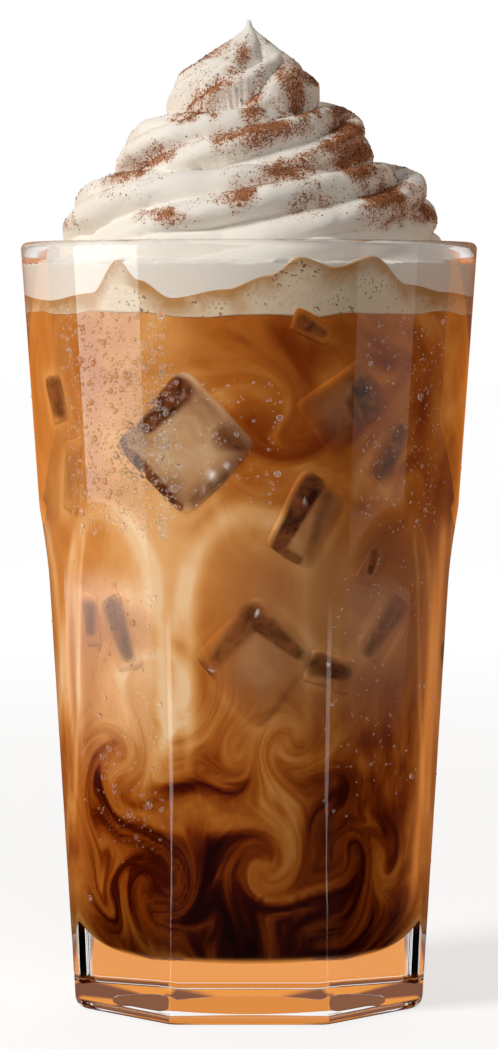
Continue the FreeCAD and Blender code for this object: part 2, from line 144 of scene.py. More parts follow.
class LatteCream(bpy.types.PropertyGroup):
    """The piped cream's sizes and colours."""

    height: length("Height", "Rim up to the nib", 43.7)
    contact: length("Contact", "Rim down to where the cream leaves the wall", 4.0)
    inset: length("Inset", "Rim's inner edge to the lowest free coil", 2.0)
    turns: number("Turns", "Turns from the nib down to the rim", 2.85)
    pitch: length("Pitch", "Drop of one turn", 12.4)
    drift: length("Drift", "How much further out each turn reaches at +X", 1.2)
    top_drop: length("Top drop", "Nib down to the start of the coil", 7.2)
    tilt: length("Tilt", "How far the coil leans, up at -X", 1.4)
    end_angle: angle_of("End angle", "Direction where the coil ends at the nib", 126)
    rope_radius: length("Rope", "Radius of the piped rope near the nib", 7.4)
    rope_growth: length("Rope growth", "Growth of that radius for each turn", 1.0)
    rope_lobes: count("Rope lobes", "Lobes of the star nozzle", 6)
    rope_groove: share("Rope groove", "Depth of the rope's grooves", 0.34)
    bulb_radius: length("Bulb", "Radius of the twisted bulb", 14.3)
    bulb_height: length("Bulb height", "Nib down to the bulb's widest part", 13.5)
    bulb_lobes: count("Bulb lobes", "Lobes of the bulb", 5)
    bulb_groove: share("Bulb groove", "Depth of the bulb's grooves", 0.36)
    bulb_twist: angle_of("Bulb twist", "Turn of the lobes from the nib to the widest part", 58)
    nib_slope: number("Nib slope", "Radius for each millimetre down from the nib", 0.3)
    nib_radius: length("Nib", "Blunt end of the nib", 0.4)
    unevenness: length("Unevenness", "How far the cream strays from its true form", 0.3)
    columns: count("Columns", "Points around the cream", 384)
    rows: count("Rows", "Points from the glass up to the nib", 236)
    white: colour("Cream", "Colour of the cream", (0.95, 0.90, 0.825))
    cocoa: colour("Cocoa", "Colour of the cocoa powder", (0.34, 0.105, 0.024))
    grains: count("Grains", "Cocoa grains that lie on the cream", 12000)


class LatteFoam(bpy.types.PropertyGroup):
    """The foam's colours."""

    pale: colour("Pale foam", "Foam near the drink", (0.87, 0.73, 0.53))
    # The tan stands for the foam in the cream's painted shade.
    tan: colour("Tan foam", "Foam near the cream", (0.58, 0.31, 0.11))


class LatteDroplets(bpy.types.PropertyGroup):
    """The condensation on the outside of the glass."""

    fine: count("Fine droplets", "The smallest droplets", 2600)
    large: count("Large droplets", "Droplets that have run together", 240)
    seed: count("Seed", "Which scatter of droplets", 11)


# --- Meshes ---


def wrapped_grid_faces(rows, columns, first=0):
    """The quads of a grid of points whose last column joins its first. They face outwards when the
    rows go up and the columns go anticlockwise."""
    row, column = np.mgrid[0 : rows - 1, 0:columns]
    beside = (column + 1) % columns
    corners = (row, column), (row, beside), (row + 1, beside), (row + 1, column)
    return first + np.stack([r * columns + c for r, c in corners], -1).reshape(-1, 4)


def fan_faces(ring, centre, flip):
    """Triangles from a ring of points to one point in its middle."""
    beside = np.roll(ring, -1)
    if flip:
        ring, beside = beside, ring
    return np.stack([ring, beside, np.full_like(ring, centre)], -1)


def make_mesh(name, points, quads, triangles, attributes=None):
    """A smooth mesh object from points in millimetres, its faces and its per-point attributes."""
    mesh = bpy.data.meshes.new(name)
    mesh.vertices.add(len(points))
    mesh.vertices.foreach_set("co", (points * MM).astype(np.float32).ravel())
    corners = np.concatenate([quads.ravel(), triangles.ravel()]).astype(np.int32)
    sizes = np.concatenate([np.full(len(quads), 4), np.full(len(triangles), 3)])
    mesh.loops.add(len(corners))
    mesh.loops.foreach_set("vertex_index", corners)
    mesh.polygons.add(len(sizes))
    starts = np.concatenate([[0], np.cumsum(sizes)[:-1]]).astype(np.int32)
    mesh.polygons.foreach_set("loop_start", starts)
    mesh.update(calc_edges=True)
    mesh.validate()
    mesh.shade_smooth()
    for label, values in (attributes or {}).items():
        plain = values.ndim == 1
        kind, field = ("FLOAT", "value") if plain else ("FLOAT_VECTOR", "vector")
        layer = mesh.attributes.new(label, kind, "POINT")
        layer.data.foreach_set(field, values.astype(np.float32).ravel())
    piece = bpy.data.objects.new(name, mesh)
    bpy.context.scene.collection.objects.link(piece)
    return piece


def closed_grid_faces(rows, columns, first=0):
    """The quads of a wrapped grid and the fans that close its first and last rows, whose middle
    points come after the grid."""
    ring = first + np.arange(columns)
    centre = first + rows * columns
    fans = [
        fan_faces(ring, centre, True),
        fan_faces(ring + (rows - 1) * columns, centre + 1, False),
    ]
    return wrapped_grid_faces(rows, columns, first), np.concatenate(fans)


def closed_values(grid):
    """A grid's values in one long list, then the means of its first and of its last row."""
    wide = grid.reshape(*grid.shape[:2], -1)
    ends = np.stack([wide[0].mean(0), wide[-1].mean(0)])
    full = np.concatenate([wide.reshape(-1, wide.shape[-1]), ends])
    return full if grid.ndim == 3 else full[:, 0]


def make_turned_mesh(name, points, attributes=None):
    """A mesh from rows of rings about the axis, closed by a fan at its first and last row."""
    layers = {label: closed_values(values) for label, values in (attributes or {}).items()}
    faces = closed_grid_faces(*points.shape[:2])
    return make_mesh(name, closed_values(points), *faces, layers)


def around(columns):
    """Evenly spaced directions about the axis."""
    return np.arange(columns) * TURN / columns


def turned_points(radius, height, angle):
    """Points at a radius and a height in a direction, the three broadcast to one grid."""
    radius, height, angle = np.broadcast_arrays(radius, height, angle)
    return np.stack([radius * np.cos(angle), radius * np.sin(angle), height], -1)


def wrapped(turn, period=TURN):
    """A turn, or a distance around, brought to within half a period of zero."""
    return (turn + period / 2) % period - period / 2


def smooth_step(low, high, x):
    """0 below low, 1 above high and 3t^2 - 2t^3 between them; the mirror image where low is the
    greater of the two."""
    t = np.clip((x - low) / (high - low), 0, 1)
    return t * t * (3 - 2 * t)


def bump_at(distance, width):
    """A bell, 1 at distance 0 and about a third at one width."""
    return np.exp(-((distance / width) ** 2))


def noise(points, seed=0):
    """Even random numbers at whole points in space, blended smoothly between them: -1 to 1. Each
    point's number is its three coordinates scrambled by large factors, shifts and exclusive ors."""
    low = np.floor(points).astype(np.int64)
    t = points - low
    t = t * t * t * (t * (t * 6 - 15) + 10)
    total = np.zeros(points.shape[:-1])
    for corner in np.ndindex(2, 2, 2):
        at = low + np.array(corner)
        mixed = (
            at[..., 0] * 73856093
            ^ at[..., 1] * 19349663
            ^ at[..., 2] * 83492791
            ^ seed * 2654435761
        ) & 0xFFFFFFFF
        mixed = ((mixed ^ (mixed >> 15)) * 2246822519) & 0xFFFFFFFF
        mixed = ((mixed ^ (mixed >> 13)) * 3266489917) & 0xFFFFFFFF
        value = (mixed ^ (mixed >> 16)) / 2147483647.5 - 1
        weight = np.prod(np.where(corner, t, 1 - t), axis=-1)
        total += value * weight
    return total


def layered_noise(points, octaves, seed=0):
    """Noise at halving sizes and halving strengths, added up."""
    total = np.zeros(points.shape[:-1])
    for octave in range(octaves):
        total += noise(points * 2**octave, seed + octave) / 2**octave
    return total


def millimetres(context, *names):
    """The named groups of settings, their lengths in millimetres and other values as they are."""
    groups = []
    for name in names:
        group = getattr(context.scene, f"latte_{name}")
        values = {}
        for prop in group.bl_rna.properties:
            if prop.identifier not in ("rna_type", "name"):
                value = getattr(group, prop.identifier)
                values[prop.identifier] = value / MM if prop.unit == "LENGTH" else value
        groups.append(SimpleNamespace(**values))
    return groups


# --- Materials ---


def maths(operation, turned_round=False):
    """A method of Value that adds a Math node."""

    def method(value, other):
        first, second = (other, value) if turned_round else (value, other)
        return value.nodes.add("ShaderNodeMath", {"operation": operation}, {0: first, 1: second})

    return method


class Value:
    """A shader value. An expression on it adds Math nodes."""

    def __init__(self, nodes, socket):
        self.nodes = nodes
        self.socket = socket

    __add__, __radd__ = maths("ADD"), maths("ADD", True)
    __sub__, __rsub__ = maths("SUBTRACT"), maths("SUBTRACT", True)
    __mul__, __rmul__ = maths("MULTIPLY"), maths("MULTIPLY", True)


class Nodes:
    """The nodes of a material or a world."""

    def __init__(self, owner, output):
        owner.use_nodes = True
        self.owner = owner
        self.tree = owner.node_tree
        self.tree.nodes.clear()
        self.output = self.tree.nodes.new(output)

    def add(self, kind, settings=None, inputs=None, output=0):
        """Adds a node: first its settings, then its inputs, by name or number, as values or links.
        A plain colour is given as three numbers."""
        node = self.tree.nodes.new(kind)
        for key, value in (settings or {}).items():
            if key == "stops":
                ramp = node.color_ramp
                while len(ramp.elements) < len(value):
                    ramp.elements.new(1.0)
                for element, (position, shade) in zip(ramp.elements, value):
                    element.position = position
                    element.color = (*shade, 1.0)
            else:
                setattr(node, key, value)
        for key, value in (inputs or {}).items():
            if isinstance(value, Value):
                self.tree.links.new(value.socket, node.inputs[key])
            elif node.inputs[key].type == "RGBA":
                node.inputs[key].default_value = (*value, 1.0)
            else:
                node.inputs[key].default_value = value
        return Value(self, node.outputs[output])

    def finish(self, shader):
        """Uses a shader and gives the material or world that it belongs to."""
        self.tree.links.new(shader.socket, self.output.inputs["Surface"])
        return self.owner

    def principled(self, inputs):
        """Uses a principled shader with these inputs and gives the material."""
        return self.finish(self.add("ShaderNodeBsdfPrincipled", {}, inputs))

    def matt_with_painted_glow(self, tone, roughness, glow):
        """Uses a matt surface with a weak glow of its own, painted light that lifts its shade, and
        gives the material.
        """
        colours = {"Base Color": tone, "Emission Color": glow, "Emission Strength": 1.0}
        return self.principled({**colours, "Roughness": roughness, "Specular IOR Level": 0.0})

    def emission(self, shade, strength):
        """A shader that only glows."""
        return self.add("ShaderNodeEmission", {}, {"Color": shade, "Strength": strength})

    def light_path(self, output):
        """What kind of ray is asking, or how often it has been scattered."""
        return self.add("ShaderNodeLightPath", output=output)

    def position(self):
        """The object's own coordinates, in metres."""
        return self.add("ShaderNodeTexCoord", output="Object")

    def away(self):
        """How far a place is from the object's origin, in metres."""
        length_of = {"operation": "LENGTH"}
        return self.add("ShaderNodeVectorMath", length_of, {0: self.position()}, output=1)

    def attribute(self, name, output="Fac"):
        """A per-point attribute of the mesh."""
        return self.add("ShaderNodeAttribute", {"attribute_name": name}, output=output)

    def speckle(self, vector, scale, detail=2.0, roughness=0.5, distortion=0.0):
        """Noise of about 1/scale of a vector's unit."""
        return self.add(
            "ShaderNodeTexNoise",
            {},
            {
                "Vector": vector,
                "Scale": scale,
                "Detail": detail,
                "Roughness": roughness,
                "Distortion": distortion,
            },
        )

    def stretched(self, vector, scale):
        """A vector scaled by a different number along each axis."""
        return self.add(
            "ShaderNodeMapping", {"vector_type": "POINT"}, {"Vector": vector, "Scale": scale}
        )

    def between(self, value, low, high):
        """0 where a value is below low, 1 where it is above high and an even S between."""
        return self.add(
            "ShaderNodeMapRange",
            {"interpolation_type": "SMOOTHSTEP"},
            {"Value": value, "From Min": low, "From Max": high},
        )

    def ramp(self, value, stops):
        """A colour from a value."""
        return self.add("ShaderNodeValToRGB", {"stops": stops}, {"Fac": value})

    def mixed(self, factor, first, second):
        """Two colours mixed."""
        kind = {"data_type": "RGBA"}
        return self.add("ShaderNodeMix", kind, {0: factor, 6: first, 7: second}, output=2)

    def bumped(self, height, distance, strength=1.0):
        """A normal from a height."""
        return self.add(
            "ShaderNodeBump",
            {},
            {"Height": height, "Distance": distance, "Strength": strength},
        )


def new_surface(name):
    """The nodes of a new material."""
    return Nodes(bpy.data.materials.new(name), "ShaderNodeOutputMaterial")


def clear_glass(name, ior, tint):
    """Glass or water: it bends what is seen through it, and lets lamps shine through unbent."""
    surface = new_surface(name)
    clear = {"Base Color": tint, "Roughness": 0.0, "IOR": ior, "Transmission Weight": 1.0}
    body = surface.add("ShaderNodeBsdfPrincipled", {}, clear)
    passed = surface.add("ShaderNodeBsdfTransparent", {}, {"Color": tint})
    lamp_ray = surface.light_path("Is Shadow Ray")
    return surface.finish(
        surface.add("ShaderNodeMixShader", {}, {0: lamp_ray, 1: body, 2: passed})
    )


# From black coffee to milk.
COFFEE_AND_MILK = [
    (0.00, (0.014, 0.0011, 0.0006)),
    (0.18, (0.060, 0.0055, 0.0012)),
    (0.36, (0.23, 0.040, 0.003)),
    (0.52, (0.44, 0.130, 0.015)),
    (0.68, (0.63, 0.270, 0.066)),
    (0.84, (0.80, 0.430, 0.160)),
    (1.00, (0.92, 0.650, 0.370)),
]


def drink_tone(surface, look):
    """Coffee stirred with milk. The mesh carries how milky each point is, with light and shade
    painted into it, and where the liquid there came from; threads of milk are noise drawn out
    along the way it flowed."""
    flow = surface.attribute("flow", "Vector")
    threads = surface.speckle(surface.stretched(flow, (1.0, 1.0, 0.3)), 0.34, 3.0, 0.55, 1.2)
    wide = surface.speckle(surface.stretched(flow, (1.0, 1.0, 0.4)), 0.12, 2.0, 0.5, 0.5)
    shift = (threads - 0.5) * look.wisps + (wide - 0.5) * (0.9 * look.wisps)
    milk = surface.attribute("milk") + shift * surface.attribute("stirred")
    tone = surface.ramp(milk, COFFEE_AND_MILK)
    return surface.mixed(surface.attribute("dull"), tone, (0.36, 0.190, 0.095))


def drink_material(look):
    """The drink: its stirred colours, and painted amber light under it, where the thick base
    gathers it, and in a band at each side; these painted parts glow more strongly than the rest.
    """
    surface = new_surface("coffee_and_milk")
    tone = drink_tone(surface, look)
    under = surface.attribute("under")
    # Painted amber light under the drink: gold near the lines through the square panels, brown
    # elsewhere.
    painted_under_glow = surface.mixed(surface.attribute("gold"), (0.30, 0.135, 0.075), (0.84, 0.32, 0.06))
    # A painted amber glow in a band at each side.
    edge = surface.attribute("edge")
    painted_side_glow = surface.mixed(edge * 0.7, tone, (0.72, 0.27, 0.06))
    colour_of = surface.mixed(under, painted_side_glow, painted_under_glow)
    # The painted amber parts glow more than the rest.
    loss = GLOW_LOSS - under * 0.45 - edge * 0.38
    glow = surface.mixed(loss, colour_of, (0.0, 0.0, 0.0))
    return surface.matt_with_painted_glow(colour_of, 0.6, glow)


def ice_material(look):
    """Ice against the wall of the glass, seen through a film of the drink: grey and milky on its
    face, dark where a side shows the coffee behind it, and fading into the drink at its edges. It
    has painted white glints, and a weak glow of its own that is painted light."""
    surface = new_surface("ice")
    place = surface.attribute("place", "Vector")
    shade = surface.attribute("shade")
    cloud = surface.speckle(place, 0.16, 3.0, 0.55, 1.0)
    smoke = surface.speckle(place, 0.30, 3.0, 0.6, 0.6)
    face = surface.ramp(
        surface.attribute("pale") + (cloud - 0.5) * 0.9,
        [
            (0.10, (0.17, 0.080, 0.040)),
            (0.40, (0.31, 0.165, 0.085)),
            (0.70, (0.50, 0.290, 0.140)),
            (1.00, (0.64, 0.43, 0.24)),
        ],
    )
    dark = surface.ramp(smoke, [(0.34, (0.040, 0.009, 0.004)), (0.70, (0.24, 0.075, 0.024))])
    around_it = drink_tone(surface, look)
    clear = surface.mixed(surface.attribute("clear"), face, around_it)
    side = surface.between(shade + (cloud - 0.5) * 0.30, 0.10, 0.58)
    iced = surface.mixed(side, clear, dark)
    blurred = surface.mixed(surface.attribute("melt"), iced, around_it)
    # Painted glints: small white highlights mixed into the colour.
    tone = surface.mixed(surface.attribute("glint"), blurred, (1.0, 0.93, 0.86))
    # A weak painted glow, a share of the colour, that lifts the ice's shade.
    dim = surface.mixed(GLOW_LOSS, tone, (0.0, 0.0, 0.0))
    return surface.matt_with_painted_glow(tone, 0.3, dim)


def foam_material(look):
    """Milk foam: tan under the cream, painted as the cream's shade, and paler towards the drink,
    with small bubbles and cocoa that has sunk into it."""
    surface = new_surface("milk_foam")
    place = surface.position()
    sunk = surface.attribute("sunk")
    patches = surface.speckle(place, 160.0, 3.0, 0.55, 0.8)
    bubbles = surface.speckle(place, 1500.0, 1.0)
    low = surface.between(sunk + (patches - 0.5) * 9.0, -0.5, 5.5)
    # Painted shade: tan just under the cream, paler further down.
    tone = surface.mixed(low, look.tan, look.pale)
    cocoa = surface.between(surface.speckle(place, 1700.0, 1.0), 0.60, 0.68)
    where = surface.between(patches, 0.48, 0.62)
    speckled = surface.mixed(cocoa * where * 0.85, tone, (0.16, 0.05, 0.016))
    return surface.principled(
        {
            "Base Color": speckled,
            "Roughness": 0.6,
            "Specular IOR Level": 0.1,
            "Normal": surface.bumped(bubbles, 0.0002, 0.4),
        }
    )


def cream_material(look):
    """Whipped cream: white with a soft glow, and cocoa powder where the mesh says it has fallen."""
    surface = new_surface("whipped_cream")
    place = surface.position()
    dust = surface.attribute("dust")
    fine = surface.speckle(place, 2200.0, 2.0, 0.6)
    patch = surface.speckle(place, 260.0, 3.0, 0.6)
    fallen = dust * 1.05 + (fine - 0.5) * 2.4 + (patch - 0.5) * 0.7
    powder = surface.between(fallen, 0.42, 0.80) * surface.between(dust, 0.02, 0.2)
    haze = surface.between(dust, 0.05, 0.9) * 0.62
    hazed = surface.mixed(haze, look.white, (0.58, 0.27, 0.11))
    tone = surface.mixed(powder * 0.9, hazed, look.cocoa)
    grain = surface.speckle(place, 900.0, 2.0)
    return surface.principled(
        {
            "Base Color": tone,
            "Roughness": 0.55,
            "Specular IOR Level": 0.3,
            "Subsurface Weight": 0.06,
            "Subsurface Radius": (0.0035, 0.0025, 0.0016),
            "Subsurface Scale": 1.0,
            "Normal": surface.bumped(grain, 0.0002, 0.35),
        }
    )


def cocoa_material(look):
    """Cocoa grains, from brown to nearly black."""
    surface = new_surface("cocoa_grains")
    shade = surface.speckle(surface.position(), 700.0, 1.0)
    tone = surface.ramp(shade, [(0.35, (0.085, 0.020, 0.006)), (0.65, (0.22, 0.062, 0.014))])
    return surface.principled({"Base Color": tone, "Roughness": 0.85})


# --- The glass ---


def soft_minimum(first, second, width):
    """The lesser of two distances, blended by k h (1 - h) where they are within a width k."""
    h = np.clip(0.5 + 0.5 * (second - first) / width, 0, 1)
    return second + (first - second) * h - width * h * (1 - h)


def panel_reach(glass, height, foot):
    """Axis to one flat panel: a straight line from the foot to the panel's top, then an arc that
    leaves it smoothly and curves outwards."""
    top, top_z = glass.rim_radius - glass.panel_top_inset, glass.panel_top
    run = math.hypot(top - foot, top_z)
    middle = top + glass.cove_radius * top_z / run
    middle_z = top_z - glass.cove_radius * (top - foot) / run
    straight = foot + (top - foot) * height / top_z
    rise = np.clip(height - middle_z, 0, glass.cove_radius)
    cove = middle - np.sqrt(glass.cove_radius ** 2 - rise**2)
    return np.where(height > top_z, cove, straight)


def cone_radius(glass, height):
    """The round outside's radius: straight from the foot to the shoulder and on to the rim."""
    rim = glass.rim_radius
    reaches = [rim - glass.pillar_inset, rim - glass.shoulder_inset, rim]
    return np.interp(height, [0, glass.shoulder_height, glass.height], reaches)


def outer_radius(glass, height, angle):
    """Axis to the outside of the glass: the least of a cone and eight panels, each panel's distance
    divided by the cosine of the turn from its middle, with the edges blended and the foot rounded.
    The heights and the angles are broadcast to one grid."""
    rounding = glass.foot_rounding
    below = np.clip(rounding - height, 0, rounding)
    tuck = rounding - np.sqrt(rounding**2 - below**2)
    radius = cone_radius(glass, height) - tuck
    least, far_off = 0.6, 1e3  # a panel is left out where it would be seen too much from the side
    for panel in range(PANELS):
        inset = glass.diagonal_inset if panel % 2 else glass.square_inset
        across = np.cos(angle - panel * TURN / PANELS)
        reach = panel_reach(glass, height, glass.rim_radius - inset) - tuck
        flat = np.where(across > least, reach / np.maximum(across, least), far_off)
        radius = soft_minimum(radius, flat, glass.edge_softness)
    return radius


def cavity_foot(glass):
    """The cavity's radius where its wall would meet its floor."""
    return glass.rim_radius - glass.square_inset - glass.foot_wall


def cavity_lean(glass):
    """The cavity wall's slope from upright."""
    mouth = glass.rim_radius - glass.rim_wall
    rise = glass.height - glass.base_thickness
    return math.atan2(mouth - cavity_foot(glass), rise)


def cavity_radius(glass, height, grown=0.0):
    """The cavity's radius on its straight wall, grown square to the wall."""
    lean = cavity_lean(glass)
    foot = cavity_foot(glass)
    rise = height - glass.base_thickness
    return foot + rise * math.tan(lean) + grown / math.cos(lean)


def cavity_profile(glass, grown, top, floor_points, corner_points, wall_points):
    """The cavity's outline from its middle out: a floor, a quarter round and a leaning wall."""
    lean = cavity_lean(glass)
    radius = glass.corner_radius + grown
    floor_z = glass.base_thickness - grown
    middle_z = floor_z + radius
    middle_r = cavity_radius(glass, middle_z, grown) - radius / math.cos(lean)
    turn = np.linspace(-math.pi / 2, -lean, corner_points)
    floor = np.linspace(NEAR_AXIS, middle_r, floor_points, endpoint=False)
    wall_z = np.linspace(middle_z - radius * math.sin(lean), top, wall_points + 1)[1:]
    wall = cavity_radius(glass, wall_z, grown)
    reach = np.concatenate([floor, middle_r + radius * np.cos(turn), wall])
    floor_heights = np.full(floor_points, floor_z)
    height = np.concatenate([floor_heights, middle_z + radius * np.sin(turn), wall_z])
    return reach, height


def glass_points(glass):
    """Rings from the middle of the foot, out, up the outside, over the lip and down the cavity."""
    angle = around(glass.columns)
    ones = np.ones_like(angle)
    top = glass.height
    lip = glass.lip_radius
    rows = []

    def ring(reach, height):
        rows.append(turned_points(reach * ones, height * ones, angle))

    for reach in np.linspace(NEAR_AXIS, glass.punt_floor_radius, 5):
        ring(reach, glass.punt_depth)
    for step in np.linspace(0, 1, 9)[1:]:
        gap = glass.punt_radius - glass.punt_floor_radius
        rise = glass.punt_depth * (1 - smooth_step(0, 1, np.array(step)))
        ring(glass.punt_floor_radius + gap * step, rise)
    foot = outer_radius(glass, 0.0, angle)
    for step in (0.35, 0.7, 0.93):
        ring(glass.punt_radius + (foot - glass.punt_radius) * step, 0.0)
    rounding = glass.foot_rounding * (1 - np.cos(np.linspace(0, math.pi / 2, 8)))
    over_shoulder = glass.shoulder_height + 3
    stops = [glass.foot_rounding, glass.panel_top, over_shoulder, top - lip]
    spans = zip(stops, stops[1:], (44, 34, 20))
    heights = np.concatenate([rounding, *(np.linspace(*span)[1:] for span in spans)])
    outside = outer_radius(glass, heights[:, None], angle[None, :])
    rows.extend(turned_points(outside, heights[:, None], angle[None, :]))
    outer_top = outside[-1]
    for turn in np.linspace(0, math.pi / 2, 7)[1:]:
        ring(outer_top - lip * (1 - math.cos(turn)), top - lip * (1 - math.sin(turn)))
    inner_top = cavity_radius(glass, top - lip)
    for turn in np.linspace(math.pi / 2, 0, 7):
        ring(inner_top + lip * (1 - math.cos(turn)), top - lip * (1 - math.sin(turn)))
    reach, height = cavity_profile(glass, 0.0, top - lip, 6, 16, 26)
    for r, z in zip(reach[-2::-1], height[-2::-1]):
        ring(r, z)
    return np.stack(rows)


# --- The ice and the drink ---

# Ice cubes against the glass: middle sideways and up as they show from the front (mm), half sizes
# along their own two directions (mm), roll (degrees), how milky the face is, and how blurred the
# edge is, as a share of the half size.
ICE_CUBES = [
    (-12.6, 111.6, 10.4, 10.2, 45, 0.80, 0.07),
    (19.0, 118.8, 8.0, 6.6, 38, 0.30, 0.30),
    (27.6, 110.0, 3.6, 6.6, -30, 0.20, 1.00),
    (11.4, 97.4, 5.4, 8.4, -27, 0.34, 0.18),
    (-37.6, 119.6, 3.2, 4.8, 14, 0.25, 1.00),
    (-34.6, 104.8, 2.8, 7.4, -12, 0.45, 1.00),
    (23.4, 88.6, 2.6, 4.6, -34, 0.55, 0.60),
    (1.6, 70.6, 9.4, 10.0, 44, 0.46, 0.42),
    (15.2, 68.2, 5.0, 3.6, -20, 0.35, 0.50),
    (12.4, 133.6, 4.0, 2.4, -26, 0.30, 0.70),
    (-30.0, 77.0, 2.6, 5.4, 4, 0.25, 1.00),
    (-24.0, 75.0, 4.0, 7.6, 18, 0.35, 0.80),
    (25.6, 76.0, 4.2, 7.4, -38, 0.30, 1.00),
]

# Dark strokes on the ice, where a side face shows: from and to, sideways and up as they show from
# the front (mm), width (mm) and how dark.
ICE_STROKES = [
    (-13.9, 121.6, -19.6, 115.4, 2.5, 0.90),
    (-23.0, 108.9, -13.6, 99.8, 1.3, 0.90),
    (-25.0, 112.4, -24.0, 111.0, 0.9, 0.85),
    (-4.6, 113.0, -1.4, 111.2, 2.4, 0.50),
    (-10.0, 100.6, -4.6, 105.6, 1.7, 0.42),
    (22.6, 121.8, 24.0, 116.0, 2.0, 0.95),
    (19.6, 119.6, 21.4, 114.6, 1.1, 0.40),
    (26.0, 106.4, 29.6, 114.0, 1.7, 0.95),
    (12.4, 104.2, 5.4, 91.8, 1.8, 0.95),
    (5.8, 91.2, 9.4, 89.8, 1.4, 0.75),
    (15.2, 101.6, 11.4, 91.2, 1.6, 0.35),
    (-38.2, 122.4, -36.8, 117.2, 1.9, 0.95),
    (-34.6, 108.4, -34.8, 101.0, 1.4, 0.35),
    (23.8, 90.4, 22.6, 87.0, 0.9, 0.75),
    (0.4, 79.2, 2.8, 77.2, 2.3, 0.92),
    (3.6, 77.0, 9.6, 71.8, 1.7, 0.85),
    (-1.2, 77.2, -6.4, 70.2, 2.2, 0.62),
    (-9.6, 67.4, -8.6, 64.8, 2.6, 0.97),
    (13.0, 69.8, 17.2, 67.8, 2.0, 0.92),
    (-30.2, 79.4, -30.0, 74.8, 1.3, 0.75),
    (-25.8, 80.4, -22.6, 71.0, 2.0, 0.85),
    (28.8, 80.6, 22.4, 71.8, 2.0, 0.75),
    (10.2, 134.6, 14.4, 132.4, 1.2, 0.80),
]

# Painted glints on the ice, small white highlights in its colour: sideways and up as they show
# from the front (mm), and size (mm).
PAINTED_ICE_GLINTS = [
    (-7.2, 105.9, 0.75),
    (-4.2, 107.6, 0.40),
    (-9.0, 103.2, 0.30),
    (-15.8, 117.6, 0.28),
    (-12.8, 120.4, 0.25),
    (-18.8, 109.8, 0.30),
    (23.6, 113.4, 0.35),
    (10.8, 100.8, 0.28),
    (-8.6, 66.8, 0.40),
    (-7.2, 68.8, 0.30),
    (14.6, 69.6, 0.30),
    (1.6, 79.6, 0.30),
]

HIDDEN_CUBES = 13  # extra cubes round the sides and the back
PLATEAU, EDGE_SUNK = 0.55, 0.10  # a cube's face over the drink, and its edge under it (mm)
BACK_DEPTH, BACK_GAP = 1.3, 0.3  # a cube's back, as a share of its half size and in mm


def skin_depth(glass, height):
    """The radius at which something on the wall of the drink shows from the front."""
    lens = 1.0 + 1.6 * smooth_step(84, 100, height)
    return cavity_radius(glass, height) + lens


def seen_sideways(glass, turn, height):
    """How far sideways a place on the drink's wall shows from the front. Places at the back are
    given a number that no front feature reaches."""
    front = np.sin(turn) * skin_depth(glass, height)
    return np.where(np.abs(turn) < math.pi / 2, front, np.sign(turn) * 90.0)


def cube_table(glass, drink):
    """Every cube as turn, height, half sizes, roll, milkiness and blur."""
    table = []
    for across, height, half_a, half_b, roll, pale, blur in ICE_CUBES:
        turn = math.asin(across / float(skin_depth(glass, height)))
        table.append((turn, height, half_a, half_b, math.radians(roll), pale, blur))
    spots = np.random.default_rng(drink.eddy_seed)
    for index in range(HIDDEN_CUBES):
        turn = 0.50 * math.pi + (index * GOLDEN % 1.0) * math.pi
        height = 60 + 66 * ((index * 0.381 + 0.1) % 1.0)
        half_a, half_b = spots.uniform(5.0, 9.5, 2)
        roll, pale, blur = spots.uniform((-0.8, 0.3, 0.2), (0.8, 0.7, 0.4))
        table.append((turn, height, half_a, half_b, roll, pale, blur))
    return table


def cube_place(cube, turn, height):
    """A place on the wall in a cube's own two directions, as shares of its half sizes."""
    middle, level, half_a, half_b, roll, _, _ = cube
    across, up = wrapped(turn - middle) * WALL_RADIUS, height - level
    cos, sin = math.cos(roll), math.sin(roll)
    return (across * cos + up * sin) / half_a, (up * cos - across * sin) / half_b


def squareness(u, v):
    """0 in the middle of a rounded square and 1 on its edge: the tenth root of u^10 + v^10."""
    return (u**10 + v**10) ** 0.1


def strokes(glass, turn, height):
    """How dark the strokes make a place, the darkest counting, and how bright the painted glints
    make it. A stroke falls off across its line as a flat-topped bell, and narrows along it."""
    across = seen_sideways(glass, turn, height)
    shade, glint = np.zeros(across.shape), np.zeros(across.shape)
    for x0, z0, x1, z1, width, strength in ICE_STROKES:
        dx, dz = x1 - x0, z1 - z0
        along = ((across - x0) * dx + (height - z0) * dz) / (dx * dx + dz * dz)
        along = np.clip(along, 0, 1)
        away = np.hypot(across - x0 - along * dx, height - z0 - along * dz)
        narrow = width * (1.25 - 0.50 * along)
        shade = np.maximum(shade, strength * np.exp(-((away / narrow) ** 2.7)))
    for x, z, size in PAINTED_ICE_GLINTS:
        glint = np.maximum(glint, bump_at(np.hypot(across - x, height - z), size))
    return shade, glint


